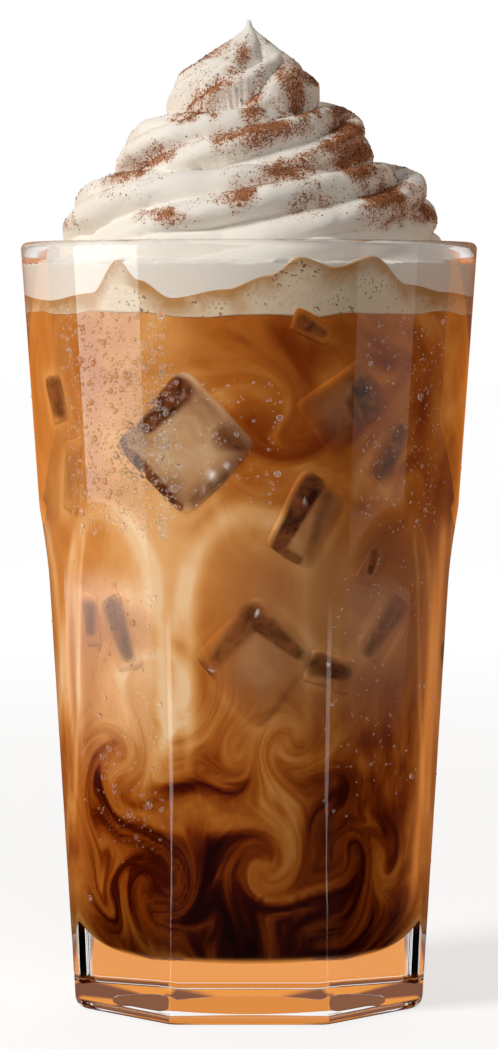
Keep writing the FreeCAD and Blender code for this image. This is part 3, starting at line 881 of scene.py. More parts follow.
def ice_piece(glass, drink):
    """All the cubes in one mesh. A cube is a rounded square pressed against the wall: it is curved
    with the wall, stands proud of the drink by a plateau that falls off in an S at its edge, and is
    closed behind. Each point carries its shades, its painted glints and the drink's own colours for
    its edges."""
    columns, front_rows, back_rows = 96, 20, 6
    rows = front_rows + back_rows
    spin = around(columns)[None, :]
    middle_part, rim_part = np.linspace(0.02, 0.86, 12), np.linspace(0.88, 1.06, 8)
    grow = np.concatenate([middle_part, rim_part, np.linspace(0.9, 0.02, back_rows)])[:, None]
    back = (np.arange(rows) >= front_rows)[:, None]
    square = 1 / squareness(np.cos(spin), np.sin(spin))
    cubes, turns, quads, triangles = [], [], [], []
    for index, cube in enumerate(cube_table(glass, drink)):
        middle, level, half_a, half_b, roll, pale, blur = cube
        wobble = 1 + 0.045 * np.sin(spin * 2 + index) + 0.03 * np.sin(3 * spin + 2.1 * index)
        u = grow * square * np.cos(spin) * wobble * half_a
        v = grow * square * np.sin(spin) * wobble * half_b
        across = u * math.cos(roll) - v * math.sin(roll)
        up = u * math.sin(roll) + v * math.cos(roll)
        height = level + up
        turn = middle + across / WALL_RADIUS
        skin = cavity_radius(glass, height, drink.into_wall)
        proud = PLATEAU * (1 - smooth_step(0.80, 1.0, grow)) - EDGE_SUNK
        deep = -min(half_a, half_b) * BACK_DEPTH * np.sqrt(np.clip(1 - grow**2, 0, 1))
        radius = skin + np.where(back, deep - BACK_GAP, proud)
        shade, glint = strokes(glass, turn, height)
        middle_glow = 1 - smooth_step(0.35, 0.90, np.hypot(u / half_a, v / half_b))
        edge_line = bump_at(grow - 0.90, 0.045) * smooth_step(-0.4, 0.6, np.sin(2 * spin + index))
        melt = smooth_step(1 - 2 * blur, 1.0, grow * (1 + 0.05 * np.sin(5 * spin + index)))
        place = np.stack([u + 31.0 * index, v, 0 * u], -1)
        veil = smooth_step(0.05, 0.75, layered_noise(place / 7.0, 2, 61)) * min(1.0, 2.2 * blur)
        grids = {
            "points": turned_points(radius, height, FRONT + turn),
            "shade": shade,
            "glint": glint,
            "pale": pale - 0.34 + 0.42 * middle_glow + 0.70 * edge_line,
            "melt": np.maximum(melt, veil * 0.75) * (1 - 0.92 * shade),
            "clear": np.full(turn.shape, 0.05 if pale > 0.7 else 0.5),
            "place": place,
        }
        turns.append(closed_values(turn))
        cubes.append({name: closed_values(grid) for name, grid in grids.items()})
        quad, triangle = closed_grid_faces(rows, columns, index * (rows * columns + 2))
        quads.append(quad[:, ::-1])
        triangles.append(triangle[:, ::-1])
    layers = {name: np.concatenate([cube[name] for cube in cubes]) for name in cubes[0]}
    points = layers.pop("points")
    layers.update(liquid(glass, drink, np.concatenate(turns), points[:, 2]))
    faces = np.concatenate(quads), np.concatenate(triangles)
    return make_mesh("ice_cubes", points, *faces, layers)


# Eddies with a place of their own: sideways and up as they show from the front (mm), size (mm) and
# turn (radians).
NAMED_EDDIES = [
    (4.0, 116.0, 9.0, 1.6),
    (13.0, 122.0, 8.0, -1.3),
    (8.0, 106.0, 6.0, -1.2),
    (3.0, 31.0, 6.5, 3.4),
    (16.5, 33.0, 6.5, -2.6),
    (25.0, 30.0, 5.0, 2.4),
    (8.0, 55.0, 5.5, 2.6),
    (-1.0, 52.0, 4.5, -2.4),
    (13.5, 47.0, 5.0, -2.2),
    (-17.0, 26.0, 7.0, 2.6),
    (-25.0, 22.0, 6.0, -2.4),
    (-8.0, 24.0, 4.5, -2.0),
]

EVEN_MILK = 0.54  # how milky the drink is where it is well mixed
PLUMES_BEHIND = 6

# Milk or coffee that has moved as a plume: sideways as it shows from the front (mm), its foot and
# its top (mm), its width (mm), and how milky it is.
PLUMES = [
    (9.5, 26.0, 58.0, 6.0, 0.52),
    (17.0, 30.0, 52.0, 3.6, 0.48),
    (24.5, 25.0, 52.0, 3.6, 0.45),
    (-3.5, 34.0, 45.0, 5.0, 0.44),
    (-19.0, 11.0, 30.0, 9.0, 0.38),
    (-27.0, 14.0, 40.0, 2.6, 0.38),
    (-10.8, 44.0, 48.0, 3.6, 0.12),
]


def stir(glass, drink, turn, height):
    """Where the liquid at each place came from. Each eddy turns the places near it about its middle
    by an angle that falls off as a bell; the eddies act one after another."""
    girth = TURN * WALL_RADIUS
    sideways = turn * WALL_RADIUS
    eddies = []
    for across, level, size, spin in NAMED_EDDIES:
        at = WALL_RADIUS * math.asin(across / float(skin_depth(glass, level)))
        eddies.append((at, level, size, spin))
    spots = np.random.default_rng(drink.eddy_seed)
    for index in range(drink.eddies):
        fine = index / drink.eddies
        middle = spots.uniform(-girth / 2, girth / 2)
        level = 12 + 122 * spots.uniform(0, 1) ** 1.35
        strength = 0.75 + 0.6 * float(smooth_step(80, 40, level))
        spin = spots.normal() * (1.1 + 0.9 * fine) * strength
        eddies.append((middle, level, 9.0 * (1 - fine) ** 1.4 + 2.2, spin))
    for middle, level, size, spin in eddies:
        across = wrapped(sideways - middle, girth)
        up = height - level
        angle = spin * bump_at(np.hypot(across, up), size)
        cos, sin = np.cos(angle), np.sin(angle)
        sideways = sideways + across * (cos - 1) - up * sin
        height = height + across * sin + up * (cos - 1)
    return wrapped(sideways / WALL_RADIUS), height


def pressed_edges(glass, turn, height):
    """1 where a panel's edge passes over a place and 0 elsewhere: a bell about the line on which
    the nearest panel's distance equals the cone's."""
    foot = glass.rim_radius - glass.square_inset
    reach = panel_reach(glass, height, foot) / np.cos(wrapped(turn, TURN / PANELS))
    return bump_at(reach - cone_radius(glass, height), 0.55)


def settled_milk(at):
    """How milky the drink is by height: dark at the bottom, with two black clouds in front, then in
    an S up to its even brown, and a little darker again at the top."""
    lift = at.from_height + 6.0 * at.cloud + 15.0 * smooth_step(-3, 6, at.across)
    lift -= 2.0 * smooth_step(-12, -20, at.across)
    black = 0.30 * bump_at(at.from_across + 5.5, 4.5) * bump_at(at.from_height - 28, 8)
    black += 0.30 * bump_at(at.from_across - 15, 14) * bump_at(at.from_height - 17, 7)
    bottom = 0.38 + 0.08 * smooth_step(-6, -14, at.across) - black
    bottom -= 0.10 * smooth_step(20, 11, at.height)
    milk = bottom + (EVEN_MILK - bottom) * smooth_step(34, 60, lift)
    return milk - 0.04 * smooth_step(100, 132, lift)


def move_plumes(milk, at):
    """Draws the milkiness towards that of each plume, in place. The named plumes stand in front,
    and pale ones at even turns behind, their feet spread by the golden ratio."""
    ragged_height = at.from_height + 2 * at.cloud
    for middle, foot, top, width, strength in PLUMES:
        inside = bump_at(at.from_across - middle + 1.5 * at.cloud, width)
        inside *= smooth_step(foot - 3, foot + 4, ragged_height)
        inside *= 1 - smooth_step(top, top + 6, ragged_height)
        milk += (strength - milk) * inside
    for index in range(PLUMES_BEHIND):
        middle = math.pi / 2 + (index + 0.5) * math.pi / PLUMES_BEHIND
        inside = bump_at(wrapped(at.from_turn - middle) * WALL_RADIUS, 5.0)
        inside *= smooth_step(16 + 14 * (index * GOLDEN % 1), 38, at.from_height)
        milk += (0.62 - milk) * inside * (1 - smooth_step(50, 60, at.from_height))


def light_up(milk, glass, at):
    """Paints light and shade into the milkiness, in place, where light passes: on the left, over
    the middle, in lines and patches near the sides, along the pressed edges and in one bright
    line; and paints shade towards the right."""
    height, across, cloud = at.height, at.across, at.cloud
    front = np.abs(at.turn) < FRONT_REACH
    # Painted light on the left.
    left = smooth_step(-7, -19, across) * smooth_step(44, 62, height + 3 * cloud) * front
    left *= 1 - 0.6 * smooth_step(26, 32, np.abs(across))
    milk += (0.24 - 0.06 * smooth_step(104, 128, height)) * left
    # Painted shade towards the right, and painted shade and light over the middle.
    milk -= 0.07 * smooth_step(6, 24, across) * front
    milk -= 0.03 * bump_at(across + 2, 9) * smooth_step(100, 90, height)
    milk += 0.10 * bump_at(height - 91, 13) * bump_at(across + 4, 16) * front
    milk -= 0.13 * bump_at(at.from_across - 2, 9) * bump_at(at.from_height - 115, 9)
    # Painted light in patches and lines near the sides.
    sides = smooth_step(27, 33, np.abs(across)) * smooth_step(66, 50, height) * front
    milk += (0.46 - milk) * 0.8 * sides
    lines = bump_at(np.abs(across) - 34.2, 0.45) + bump_at(np.abs(across) - 32.2, 0.3)
    milk += 0.20 * lines * smooth_step(97, 90, height) * smooth_step(14, 24, height)
    # Painted light along the pressed edges.
    pressed = pressed_edges(glass, at.turn, height)
    pressed *= smooth_step(44, 60, height) * front
    milk += (0.07 + 0.15 * smooth_step(24, -6, across)) * pressed
    # Painted light in a low strip at each side.
    beside = bump_at((np.abs(at.turn) - math.pi / 2) * WALL_RADIUS + 1.5 * cloud, 7.0)
    milk += (0.72 - milk) * beside * smooth_step(40, 28, height)
    # A painted line of light.
    painted_light_line = across + 13.4 - 1.6 * cloud + 4.5 * smooth_step(64, 46, height)
    painted_light_line = bump_at(painted_light_line, 1.5) * smooth_step(44, 56, height) * front
    milk += 0.22 * painted_light_line * (1 - smooth_step(82, 98, height))


def cube_halo(glass, drink, at):
    """1 on the outline of an ice cube, falling off as a bell on both sides."""
    halo = np.zeros(at.across.shape)
    for cube in cube_table(glass, drink):
        u, v = cube_place(cube, at.turn, at.height)
        away = np.abs(squareness(u, v) - 1.06) * min(cube[2], cube[3])
        halo = np.maximum(halo, bump_at(away, 1.0))
    return halo


def liquid(glass, drink, turn, height):
    """The drink's colours at places on its wall: how milky, with light and shade painted into it,
    how dull with melted ice, how strongly fine threads show, and where the liquid came from."""
    turn = wrapped(turn)
    from_turn, from_height = stir(glass, drink, turn, height)
    flow = turned_points(WALL_RADIUS, from_height, from_turn)
    cloud = layered_noise(flow / 15.0, 3, 21)
    fold = layered_noise(flow / 5.5, 3, 31)
    across = seen_sideways(glass, turn, height)
    from_across = seen_sideways(glass, from_turn, from_height)
    at = SimpleNamespace(turn=turn, height=height, across=across, cloud=cloud)
    at.from_turn, at.from_height, at.from_across = from_turn, from_height, from_across

    milk = settled_milk(at)
    move_plumes(milk, at)
    deep = smooth_step(66, 44, height)
    bold = smooth_step(92, 104, height) * smooth_step(-14, -4, across)
    milk += (0.10 + 0.08 * deep + 0.07 * bold) * cloud
    milk += (0.03 + 0.10 * deep + 0.05 * bold) * fold
    # Light and shade painted into the milkiness.
    light_up(milk, glass, at)
    milk += 0.12 * cube_halo(glass, drink, at) * smooth_step(-0.5, 0.9, cloud)
    dull = 0.40 * smooth_step(52, 70, height) * (1 - smooth_step(84, 104, height))
    dull *= smooth_step(-12, 6, across)
    stirred = 0.20 + 0.50 * smooth_step(72, 52, height)
    return {"milk": milk, "dull": dull, "stirred": stirred, "flow": flow}


def drink_piece(glass, drink):
    """The drink as a turned solid that reaches into the wall, with its colours worked out for each
    point of its skin."""
    top = glass.height - drink.fill_depth
    reach, height = cavity_profile(glass, drink.into_wall, top, 8, 26, drink.rows)
    lid = np.linspace(reach[-1], NEAR_AXIS, 5)[1:]
    reach = np.concatenate([reach, lid])
    height = np.concatenate([height, np.full(len(lid), top)])
    angle = around(drink.columns)
    points = turned_points(reach[:, None], height[:, None], angle[None, :])
    turn = np.broadcast_to((angle - FRONT)[None, :], points.shape[:-1])
    upward = np.broadcast_to(height[:, None], points.shape[:-1])
    layers = liquid(glass, drink, turn, upward)
    floor_z = glass.base_thickness
    # Painted amber light on the drink's underside, gold near the lines through the square panels.
    layers["under"] = smooth_step(floor_z + 1.8, floor_z + 0.1, upward)
    nearest = np.minimum(np.abs(points[..., 0]), np.abs(points[..., 1]))
    layers["gold"] = smooth_step(13.5, 11.5, nearest)
    # A painted amber glow in a band at each side, full on one side and a quarter on the other, in
    # soft stripes.
    off_side = np.abs(np.abs(wrapped(turn)) - math.pi / 2)
    band = smooth_step(0.50, 0.36, off_side) * np.where(np.sin(turn) > 0, 1.0, 0.25)
    band = band * (0.74 + 0.26 * np.cos(38 * off_side))
    layers["edge"] = band * smooth_step(12, 30, upward) * smooth_step(99, 92, upward)
    return make_turned_mesh("iced_coffee", points, layers)


# --- The foam and the cream ---

# The edge between foam and cream at the glass: turn from the front (degrees) and height over the
# drink's level (mm).
CREAM_EDGE = [
    (-180, 5.0),
    (-160, 2.0),
    (-138, 6.5),
    (-112, 1.6),
    (-88, 2.6),
    (-62, 1.4),
    (-44, 2.8),
    (-35, 9.0),
    (-29, 5.2),
    (-20, 1.8),
    (-6, 3.4),
    (5, 6.0),
    (13, 9.4),
    (22, 7.6),
    (33, 9.6),
    (44, 4.4),
    (60, 3.0),
    (82, 2.2),
    (104, 5.6),
    (128, 1.8),
    (152, 5.8),
    (166, 2.2),
    (180, 5.0),
]


def cream_edge(turn):
    """The edge's height over the drink's level, an even S from each named point to the next."""
    turns, heights = (np.array(column, float) for column in zip(*CREAM_EDGE))
    degrees = wrapped(np.degrees(turn), 360)
    index = np.clip(np.searchsorted(turns, degrees, side="right") - 1, 0, len(turns) - 2)
    mix = smooth_step(turns[index], turns[index + 1], degrees)
    return heights[index] * (1 - mix) + heights[index + 1] * mix


def foam_piece(glass, drink):
    """The foam at the glass: a low turned solid whose upper edge follows the cream, and whose lower
    edge hangs over the drink in shallow waves. Each point carries how far it is below the cream."""
    angle = around(360)
    level = glass.height - drink.fill_depth
    top = level + cream_edge(angle - FRONT) + 0.3
    wave = noise(turned_points(3.2, 0.0, angle), 9)
    wave = wave + 0.5 * noise(turned_points(7.0, 3.0, angle), 12)
    foot = level - 0.9 - 0.8 * wave
    wall = drink.into_wall + 0.05
    rows, sunk = [], []

    def ring(reach, height):
        reach, height = reach * np.ones_like(angle), height * np.ones_like(angle)
        rows.append(turned_points(reach, height, angle))
        sunk.append(top - height)

    for step in np.linspace(0.01, 0.97, 6):
        ring(step * cavity_radius(glass, foot, wall), foot)
    for step in np.linspace(0, 1, 26):
        height = foot + (top - foot) * step
        ring(cavity_radius(glass, height, wall), height)
    for step in np.linspace(0.97, 0.01, 8):
        dip = level + 2.0 + (top - level - 2.0) * smooth_step(0.7, 0.97, np.array(step))
        ring(step * cavity_radius(glass, top, wall), dip)
    return make_turned_mesh("foam_on_drink", np.stack(rows), {"sunk": np.stack(sunk)})


def star_reach(angle, lobes, groove):
    """A star with round lobes: 1 on a lobe and 1 - groove between lobes."""
    return 1 - groove + groove * np.abs(np.cos(lobes * angle / 2))


def coil_radius(cream, foot, turn, angle):
    """Axis to the coil's centre line: it grows evenly with the turns, more towards +X."""
    step = foot / cream.turns + cream.drift * np.cos(angle)
    return np.minimum(step * turn, foot)


def cream_distance(glass, cream, radius, angle, height, wall_grown):
    """How far a point lies outside the cream: the least of the coiled star rope, the twisted bulb,
    the core that the coil stands on and the filled glass. Each turn of the rope that passes this
    direction is a star about the coil's centre line."""
    nib = glass.height + cream.height
    mouth = glass.rim_radius - glass.rim_wall
    foot = mouth - cream.inset - cream.rope_radius - cream.rope_growth * cream.turns
    first = ((cream.end_angle - angle) / TURN) % 1.0
    tilt = -cream.tilt * np.cos(angle)
    rope = np.full(np.broadcast(radius, angle, height).shape, np.inf)
    for whole in range(4):
        turn = first + whole
        section = cream.rope_radius + cream.rope_growth * turn
        section = section * (0.45 + 0.55 * smooth_step(0.0, 0.5, turn))
        across = radius - coil_radius(cream, foot, turn, angle)
        up = height - (nib - cream.top_drop - cream.pitch * turn + tilt)
        facing = np.arctan2(up, across) + TURN * turn
        star = star_reach(facing, cream.rope_lobes, cream.rope_groove)
        away = np.hypot(across, up) - section * star
        away = np.where(turn < cream.turns + 1, away, np.inf)
        rope = np.minimum(rope, away)
    drop = nib - height
    part = np.clip(drop / cream.bulb_height, 0, 1)
    grown = cream.bulb_radius * part * part * (3 - 2 * part)
    grown = grown + cream.nib_slope * drop * (1 - part)
    groove = cream.bulb_groove * smooth_step(0, 0.5, part)
    star = star_reach(angle + cream.bulb_twist * part, cream.bulb_lobes, groove)
    bulb = radius - np.maximum(grown, cream.nib_radius) * star
    bulb = np.maximum(bulb, drop - cream.bulb_height * 1.2)
    bulb = np.where(drop < 0, np.maximum(radius, -drop), bulb)
    turn = (nib - cream.top_drop - height) / cream.pitch
    core = radius - coil_radius(cream, foot, turn, angle)
    filled = height - (glass.height - cream.contact)
    outside = np.minimum(np.minimum(rope, bulb), np.minimum(core, filled))
    wall = radius - cavity_radius(glass, height, wall_grown)
    return np.where(height < glass.height, np.maximum(outside, wall), outside)


def cream_points(glass, drink, cream):
    """Rings of rays from the axis at the cream's foot, each stopped where it first meets the cream
    from outside: a march inwards, then halvings of the last step."""
    angle = around(cream.columns)[None, :]
    start = glass.height - cream.contact
    nib = glass.height + cream.height
    level = glass.height - drink.fill_depth
    edge = level + cream_edge(angle - FRONT)
    wall = drink.into_wall
    lowest = np.arctan2(edge - start, cavity_radius(glass, edge, wall))
    share_up = np.linspace(0, 1, cream.rows, endpoint=False)[:, None]
    elevation = lowest + (math.pi / 2 - lowest) * share_up
    cos, sin = np.cos(elevation), np.sin(elevation)

    def outside(reach):
        return cream_distance(glass, cream, reach * cos, angle, start + reach * sin, wall)

    reach = np.full(elevation.shape, math.hypot(glass.rim_radius, nib - start))
    going = np.ones(elevation.shape, bool)
    step = 0.6
    for _ in range(int(reach.max() / step)):
        going = going & (outside(reach) > 0)
        reach = np.where(going, reach - step, reach)
    low, high = reach, reach + step
    for _ in range(9):
        middle = (low + high) / 2
        free = outside(middle) > 0
        high = np.where(free, middle, high)
        low = np.where(free, low, middle)
    points = turned_points(low * cos, start + low * sin, angle)
    free = smooth_step(start, start + 6, points[..., 2])[..., None]
    taper = np.clip((nib - points[..., 2]) / 6, 0, 1)[..., None]
    stray = np.stack([layered_noise(points / 7.5, 3, seed) for seed in (40, 50, 60)], -1)
    points = points + cream.unevenness * stray * free * taper
    under = []
    for step in np.linspace(0.01, 0.985, 7):
        reach = step * cavity_radius(glass, edge, wall)
        height = level + 2.5 + (edge - level - 2.5) * smooth_step(0.6, 1, np.array(step))
        under.append(turned_points(reach, height, angle)[0])
    tip = turned_points(0.15, nib - 0.1, angle)
    return np.concatenate([np.stack(under), points, tip])


def grid_normals(points):
    """Outward normals of a wrapped grid, as the cross product of its two directions."""
    across = np.roll(points, -1, axis=1) - np.roll(points, 1, axis=1)
    up = np.gradient(points, axis=0)
    normal = np.cross(across, up)
    return normal / np.maximum(np.linalg.norm(normal, axis=-1, keepdims=True), 1e-9)


# Where cocoa lies thickest: sideways and up as it shows from the front (mm), its two half sizes
# (mm), its roll (degrees) and how thick.
COCOA_PATCHES = [
    (-8.5, 178.0, 9.5, 4.8, 42, 1.0),
    (-1.0, 186.0, 2.0, 5.0, -10, 0.7),
    (1.2, 176.5, 2.8, 8.0, -14, 0.9),
    (9.5, 178.0, 4.6, 9.5, 20, 1.15),
    (-3.0, 170.0, 6.0, 2.4, 10, 0.8),
    (-19.0, 166.0, 13.0, 3.0, 26, 0.85),
    (3.5, 170.5, 14.0, 3.4, 12, 1.0),
    (20.0, 168.5, 6.5, 10.0, 22, 1.2),
    (7.0, 163.5, 15.0, 3.0, 22, 0.9),
    (-15.5, 154.0, 6.5, 2.2, -6, 0.95),
    (-1.0, 157.5, 4.0, 3.4, 10, 1.0),
    (26.0, 157.0, 6.5, 6.5, 30, 1.15),
    (35.0, 156.5, 7.5, 4.8, -30, 1.0),
    (-37.0, 153.0, 6.0, 2.2, 0, 0.9),
    (14.0, 158.0, 9.0, 3.4, 16, 0.7),
    (-24.0, 158.5, 8.0, 1.6, 6, 0.45),
]


def dust_field(glass, points):
    """How much cocoa has fallen: in named patches at the front, in random ones elsewhere, more on
    faces that look up and towards the nib, and none inside the glass."""
    normal = grid_normals(points)
    facing = smooth_step(0.05, 0.62, normal[..., 2])
    patch = smooth_step(-0.35, 0.5, layered_noise(points / 9.0 * (1.0, 1.0, 1.4), 2, 77))
    rise = (points[..., 2] - glass.height) / 44
    front = smooth_step(4.0, -8.0, points[..., 1])
    amount = facing * patch * (0.6 + 0.5 * np.clip(rise, 0, 1)) * (1 - 0.72 * front)
    named = np.zeros(amount.shape)
    ragged = layered_noise(points / 3.0, 3, 78)
    for across, height, half_a, half_b, roll, thick in COCOA_PATCHES:
        cos, sin = math.cos(math.radians(roll)), math.sin(math.radians(roll))
        x, z = points[..., 0] - across, points[..., 2] - height
        away = np.hypot((x * cos + z * sin) / half_a, (z * cos - x * sin) / half_b)
        named = np.maximum(named, thick * smooth_step(1.35, 0.10, away + 0.30 * ragged))
    amount = np.maximum(amount, named * front * (0.62 + 0.38 * facing))
    amount = np.maximum(amount, 0.34 * front * smooth_step(0.60, 0.80, rise) * (0.4 + patch))
    return amount * smooth_step(0.5, 4.0, points[..., 2] - glass.height)


def scatter(points, weight, number_of, seed):
    """Places on a wrapped grid, chosen by weight and area, and the grid cell each one is in."""
    spots = np.random.default_rng(seed)
    across = np.roll(points, -1, axis=1) - points
    up = np.diff(points, axis=0)
    area = np.linalg.norm(np.cross(across[:-1], up), axis=-1)
    chance = (area * weight[:-1]).ravel()
    cell = spots.choice(len(chance), number_of, p=chance / chance.sum())
    row, column = np.unravel_index(cell, area.shape)
    u, v = spots.random((2, number_of, 1))
    beside = (column + 1) % points.shape[1]
    low = points[row, column] * (1 - u) + points[row, beside] * u
    high = points[row + 1, column] * (1 - u) + points[row + 1, beside] * u
    return low * (1 - v) + high * v, row, column


def grain_pieces(name, places, normals, sizes, flatness, shape, seed):
    """One mesh of many small bodies: each copies a unit shape, stretched by its own sizes, pressed
    flat along its normal and turned about it."""
    spots = np.random.default_rng(seed)
    unit, quads, triangles = shape
    spin = spots.uniform(0, TURN, len(places))
    side = np.cross(normals, [0.31, 0.17, 0.93])
    side = side / np.linalg.norm(side, axis=-1, keepdims=True)
    other = np.cross(normals, side)
    cos, sin = np.cos(spin)[:, None], np.sin(spin)[:, None]
    first, second = side * cos + other * sin, other * cos - side * sin
    axes = np.stack([first, second, normals * flatness[:, None]], 1)
    cloud = np.einsum("vk,nkc->nvc", unit, axes * sizes[:, None, None])
    points = (places[:, None, :] + cloud).reshape(-1, 3)
    offset = (np.arange(len(places)) * len(unit))[:, None, None]
    return make_mesh(
        name,
        points,
        (quads[None] + offset).reshape(-1, 4),
        (triangles[None] + offset).reshape(-1, 3),
    )


def pebble(columns, rows):
    """A unit ball on a grid of directions."""
    turn, rise = np.meshgrid(
        around(columns), np.linspace(-math.pi / 2, math.pi / 2, rows + 2)[1:-1]
    )
    ball = np.stack([np.cos(rise) * np.cos(turn), np.cos(rise) * np.sin(turn), np.sin(rise)], -1)
    flat = np.concatenate([ball.reshape(-1, 3), [[0, 0, -1], [0, 0, 1]]])
    return flat, *closed_grid_faces(rows, columns)


# --- Operators ---


def settled(piece, material, slot, *nodes):
    """Dresses a piece, makes it ride on the part and hides the parts of the model that it stands
    for. Its slot is not used.
    """
    piece.data.materials.append(material)
    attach(piece, "root")
    if nodes:
        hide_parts(*nodes)


class LATTE_OT_glass(bpy.types.Operator):
    """Makes the panelled tumbler"""

    bl_idname = "latte.glass"
    bl_label = "Glass"

    def execute(self, context):
        (glass,) = millimetres(context, "glass")
        piece = make_turned_mesh("panelled_tumbler", glass_points(glass))
        settled(piece, clear_glass("tumbler_glass", 1.5, (0.985, 0.985, 0.985)), "glass", "glass")
        return {"FINISHED"}


class LATTE_OT_drink(bpy.types.Operator):
    """Makes the coffee with its swirls of milk"""

    bl_idname = "latte.drink"
    bl_label = "Coffee"

    def execute(self, context):
        glass, drink = millimetres(context, "glass", "drink")
        settled(drink_piece(glass, drink), drink_material(drink), "coffee", "coffee")
        return {"FINISHED"}


class LATTE_OT_ice(bpy.types.Operator):
    """Makes the ice cubes that show at the glass"""

    bl_idname = "latte.ice"
    bl_label = "Ice"

    def execute(self, context):
        glass, drink = millimetres(context, "glass", "drink")
        settled(ice_piece(glass, drink), ice_material(drink), "coffee")
        return {"FINISHED"}


class LATTE_OT_foam(bpy.types.Operator):
    """Makes the foam on the drink"""

    bl_idname = "latte.foam"
    bl_label = "Foam"

    def execute(self, context):
        glass, drink, look = millimetres(context, "glass", "drink", "foam")
        settled(foam_piece(glass, drink), foam_material(look), "foam", "milk_foam")
        return {"FINISHED"}


class LATTE_OT_cream(bpy.types.Operator):
    """Pipes the whipped cream and dusts it with cocoa"""

    bl_idname = "latte.cream"
    bl_label = "Cream"

    def execute(self, context):
        glass, drink, cream = millimetres(context, "glass", "drink", "cream")
        points = cream_points(glass, drink, cream)
        dust = dust_field(glass, points)
        piece = make_turned_mesh("piped_cream", points, {"dust": dust})
        settled(piece, cream_material(cream), "cream", "whipped_cream")
        places, row, column = scatter(points, dust**1.5, cream.grains, 5)
        normals = grid_normals(points)[row, column]
        spots = np.random.default_rng(6)
        sizes = 0.08 + 0.15 * spots.random(len(places)) ** 3
        flatness = spots.uniform(0.6, 0.95, len(places))
        grains = grain_pieces("cocoa_grains", places, normals, sizes, flatness, pebble(4, 2), 8)
        settled(grains, cocoa_material(cream), "cream")
        return {"FINISHED"}


# Where droplets sit on the glass: turn from the front (degrees) low and high, height (mm) low and
# high, and how many of the fine and of the large ones.
DROPLET_PATCHES = [
    (-55, -20, 94, 136, 0.40, 0.45),
    (-38, -18, 96, 128, 0.14, 0.25),
    (30, 60, 94, 136, 0.10, 0.04),
    (-52, -24, 34, 88, 0.12, 0.10),
    (-20, 8, 100, 124, 0.04, 0.02),
    (60, 320, 20, 138, 0.12, 0.08),
    (20, 60, 40, 90, 0.04, 0.02),
]


def droplet_places(glass, drops, which):
    """Places, normals and sizes of the droplets of one kind on the outside of the glass."""
    spots = np.random.default_rng(drops.seed + which)
    total = drops.large if which else drops.fine
    turns, heights = [], []
    for low, high, bottom, top, fine, large in DROPLET_PATCHES:
        here = int(total * (large if which else fine))
        turns.append(spots.uniform(low, high, here))
        heights.append(spots.uniform(bottom, top, here))
    turn = FRONT + np.radians(np.concatenate(turns))
    height = np.concatenate(heights)
    order = np.argsort(height)
    turn, height = turn[order], height[order]

    here = outer_radius(glass, height, turn)
    turn_step, height_step = 0.004, 0.2
    slope_turn = (outer_radius(glass, height, turn + turn_step) - here) / turn_step
    slope_height = (outer_radius(glass, height + height_step, turn) - here) / height_step
    out = turned_points(1.0, 0.0, turn)
    along = turned_points(1.0, 0.0, turn + math.pi / 2)
    up = np.array([0.0, 0.0, 1.0])
    normal = out - along * (slope_turn / here)[:, None] - up * slope_height[:, None]
    normal = normal / np.linalg.norm(normal, axis=-1, keepdims=True)
    places = out * here[:, None] + up * height[:, None]
    least, growth = (0.42, 0.42) if which else (0.15, 0.19)
    return places, normal, least + growth * spots.random(len(turn)) ** 2


class LATTE_OT_droplets(bpy.types.Operator):
    """Makes the condensation on the glass"""

    bl_idname = "latte.droplets"
    bl_label = "Droplets"

    def execute(self, context):
        glass, drops = millimetres(context, "glass", "droplets")
        water = clear_glass("water_droplets", 1.33, (1.0, 1.0, 1.0))
        for which, name, shape in (
            (0, "fine_droplets", pebble(8, 4)),
            (1, "large_droplets", pebble(9, 4)),
        ):
            places, normals, sizes = droplet_places(glass, drops, which)
            flatness = np.full(len(sizes), 0.5)
            piece = grain_pieces(name, places, normals, sizes, flatness, shape, 20 + which)
            settled(piece, water, "glass")
        return {"FINISHED"}


def first_sight(nodes):
    """1 for what the camera sees, by itself or through clear glass, and 0 for light that something
    has scattered."""
    depth = nodes.light_path("Diffuse Depth")
    return nodes.add("ShaderNodeMath", {"operation": "LESS_THAN"}, {0: depth, 1: 0.5})


def glowing_card(name, shade, strength, fade=None):
    """A card that shows only through or in clear things. It may fade in from one height to another
    (m)."""
    surface = new_surface(name)
    glow = first_sight(surface) * strength
    if fade:
        place = surface.add("ShaderNodeSeparateXYZ", {}, {0: surface.position()}, output=2)
        glow = glow * surface.between(place, *fade)
    return surface.finish(surface.emission(shade, glow))


def amber_pool():
    """Light that the drink gathers on the floor: gold where the square panels face, brown between
    them, and fading outwards."""
    surface = new_surface("amber_pool")
    gold = surface.between(surface.attribute("gold"), 0.35, 0.75)
    shade = surface.mixed(gold, (0.24, 0.095, 0.055), (0.88, 0.33, 0.07))
    faded = surface.mixed(surface.between(surface.away(), 0.10, 0.16), shade, (0.62, 0.60, 0.58))
    return surface.finish(surface.emission(faded, first_sight(surface)))


def pale_floor():
    """A white floor that stays white far away, and takes a soft shadow near the glass."""
    surface = new_surface("pale_floor")
    far = surface.between(surface.away(), 0.10, 0.9)
    glow = surface.emission((1.0, 1.0, 1.0), first_sight(surface) * (0.62 + far * 0.36))
    shade = surface.mixed(far, (0.51, 0.535, 0.56), (0.1, 0.1, 0.1))
    matt = surface.add("ShaderNodeBsdfDiffuse", {}, {"Color": shade})
    return surface.finish(surface.add("ShaderNodeAddShader", {}, {0: glow, 1: matt}))


def card(name, corners, faces, material, seen_by):
    """A part of the stage, its corners in metres, that only these kinds of ray meet."""
    mesh = bpy.data.meshes.new(name)
    mesh.from_pydata(corners, [], faces)
    mesh.materials.append(material)
    piece = bpy.data.objects.new(name, mesh)
    for ray in ("camera", "diffuse", "glossy", "transmission", "shadow"):
        setattr(piece, f"visible_{ray}", ray in seen_by)
    bpy.context.scene.collection.objects.link(piece)
    return piece


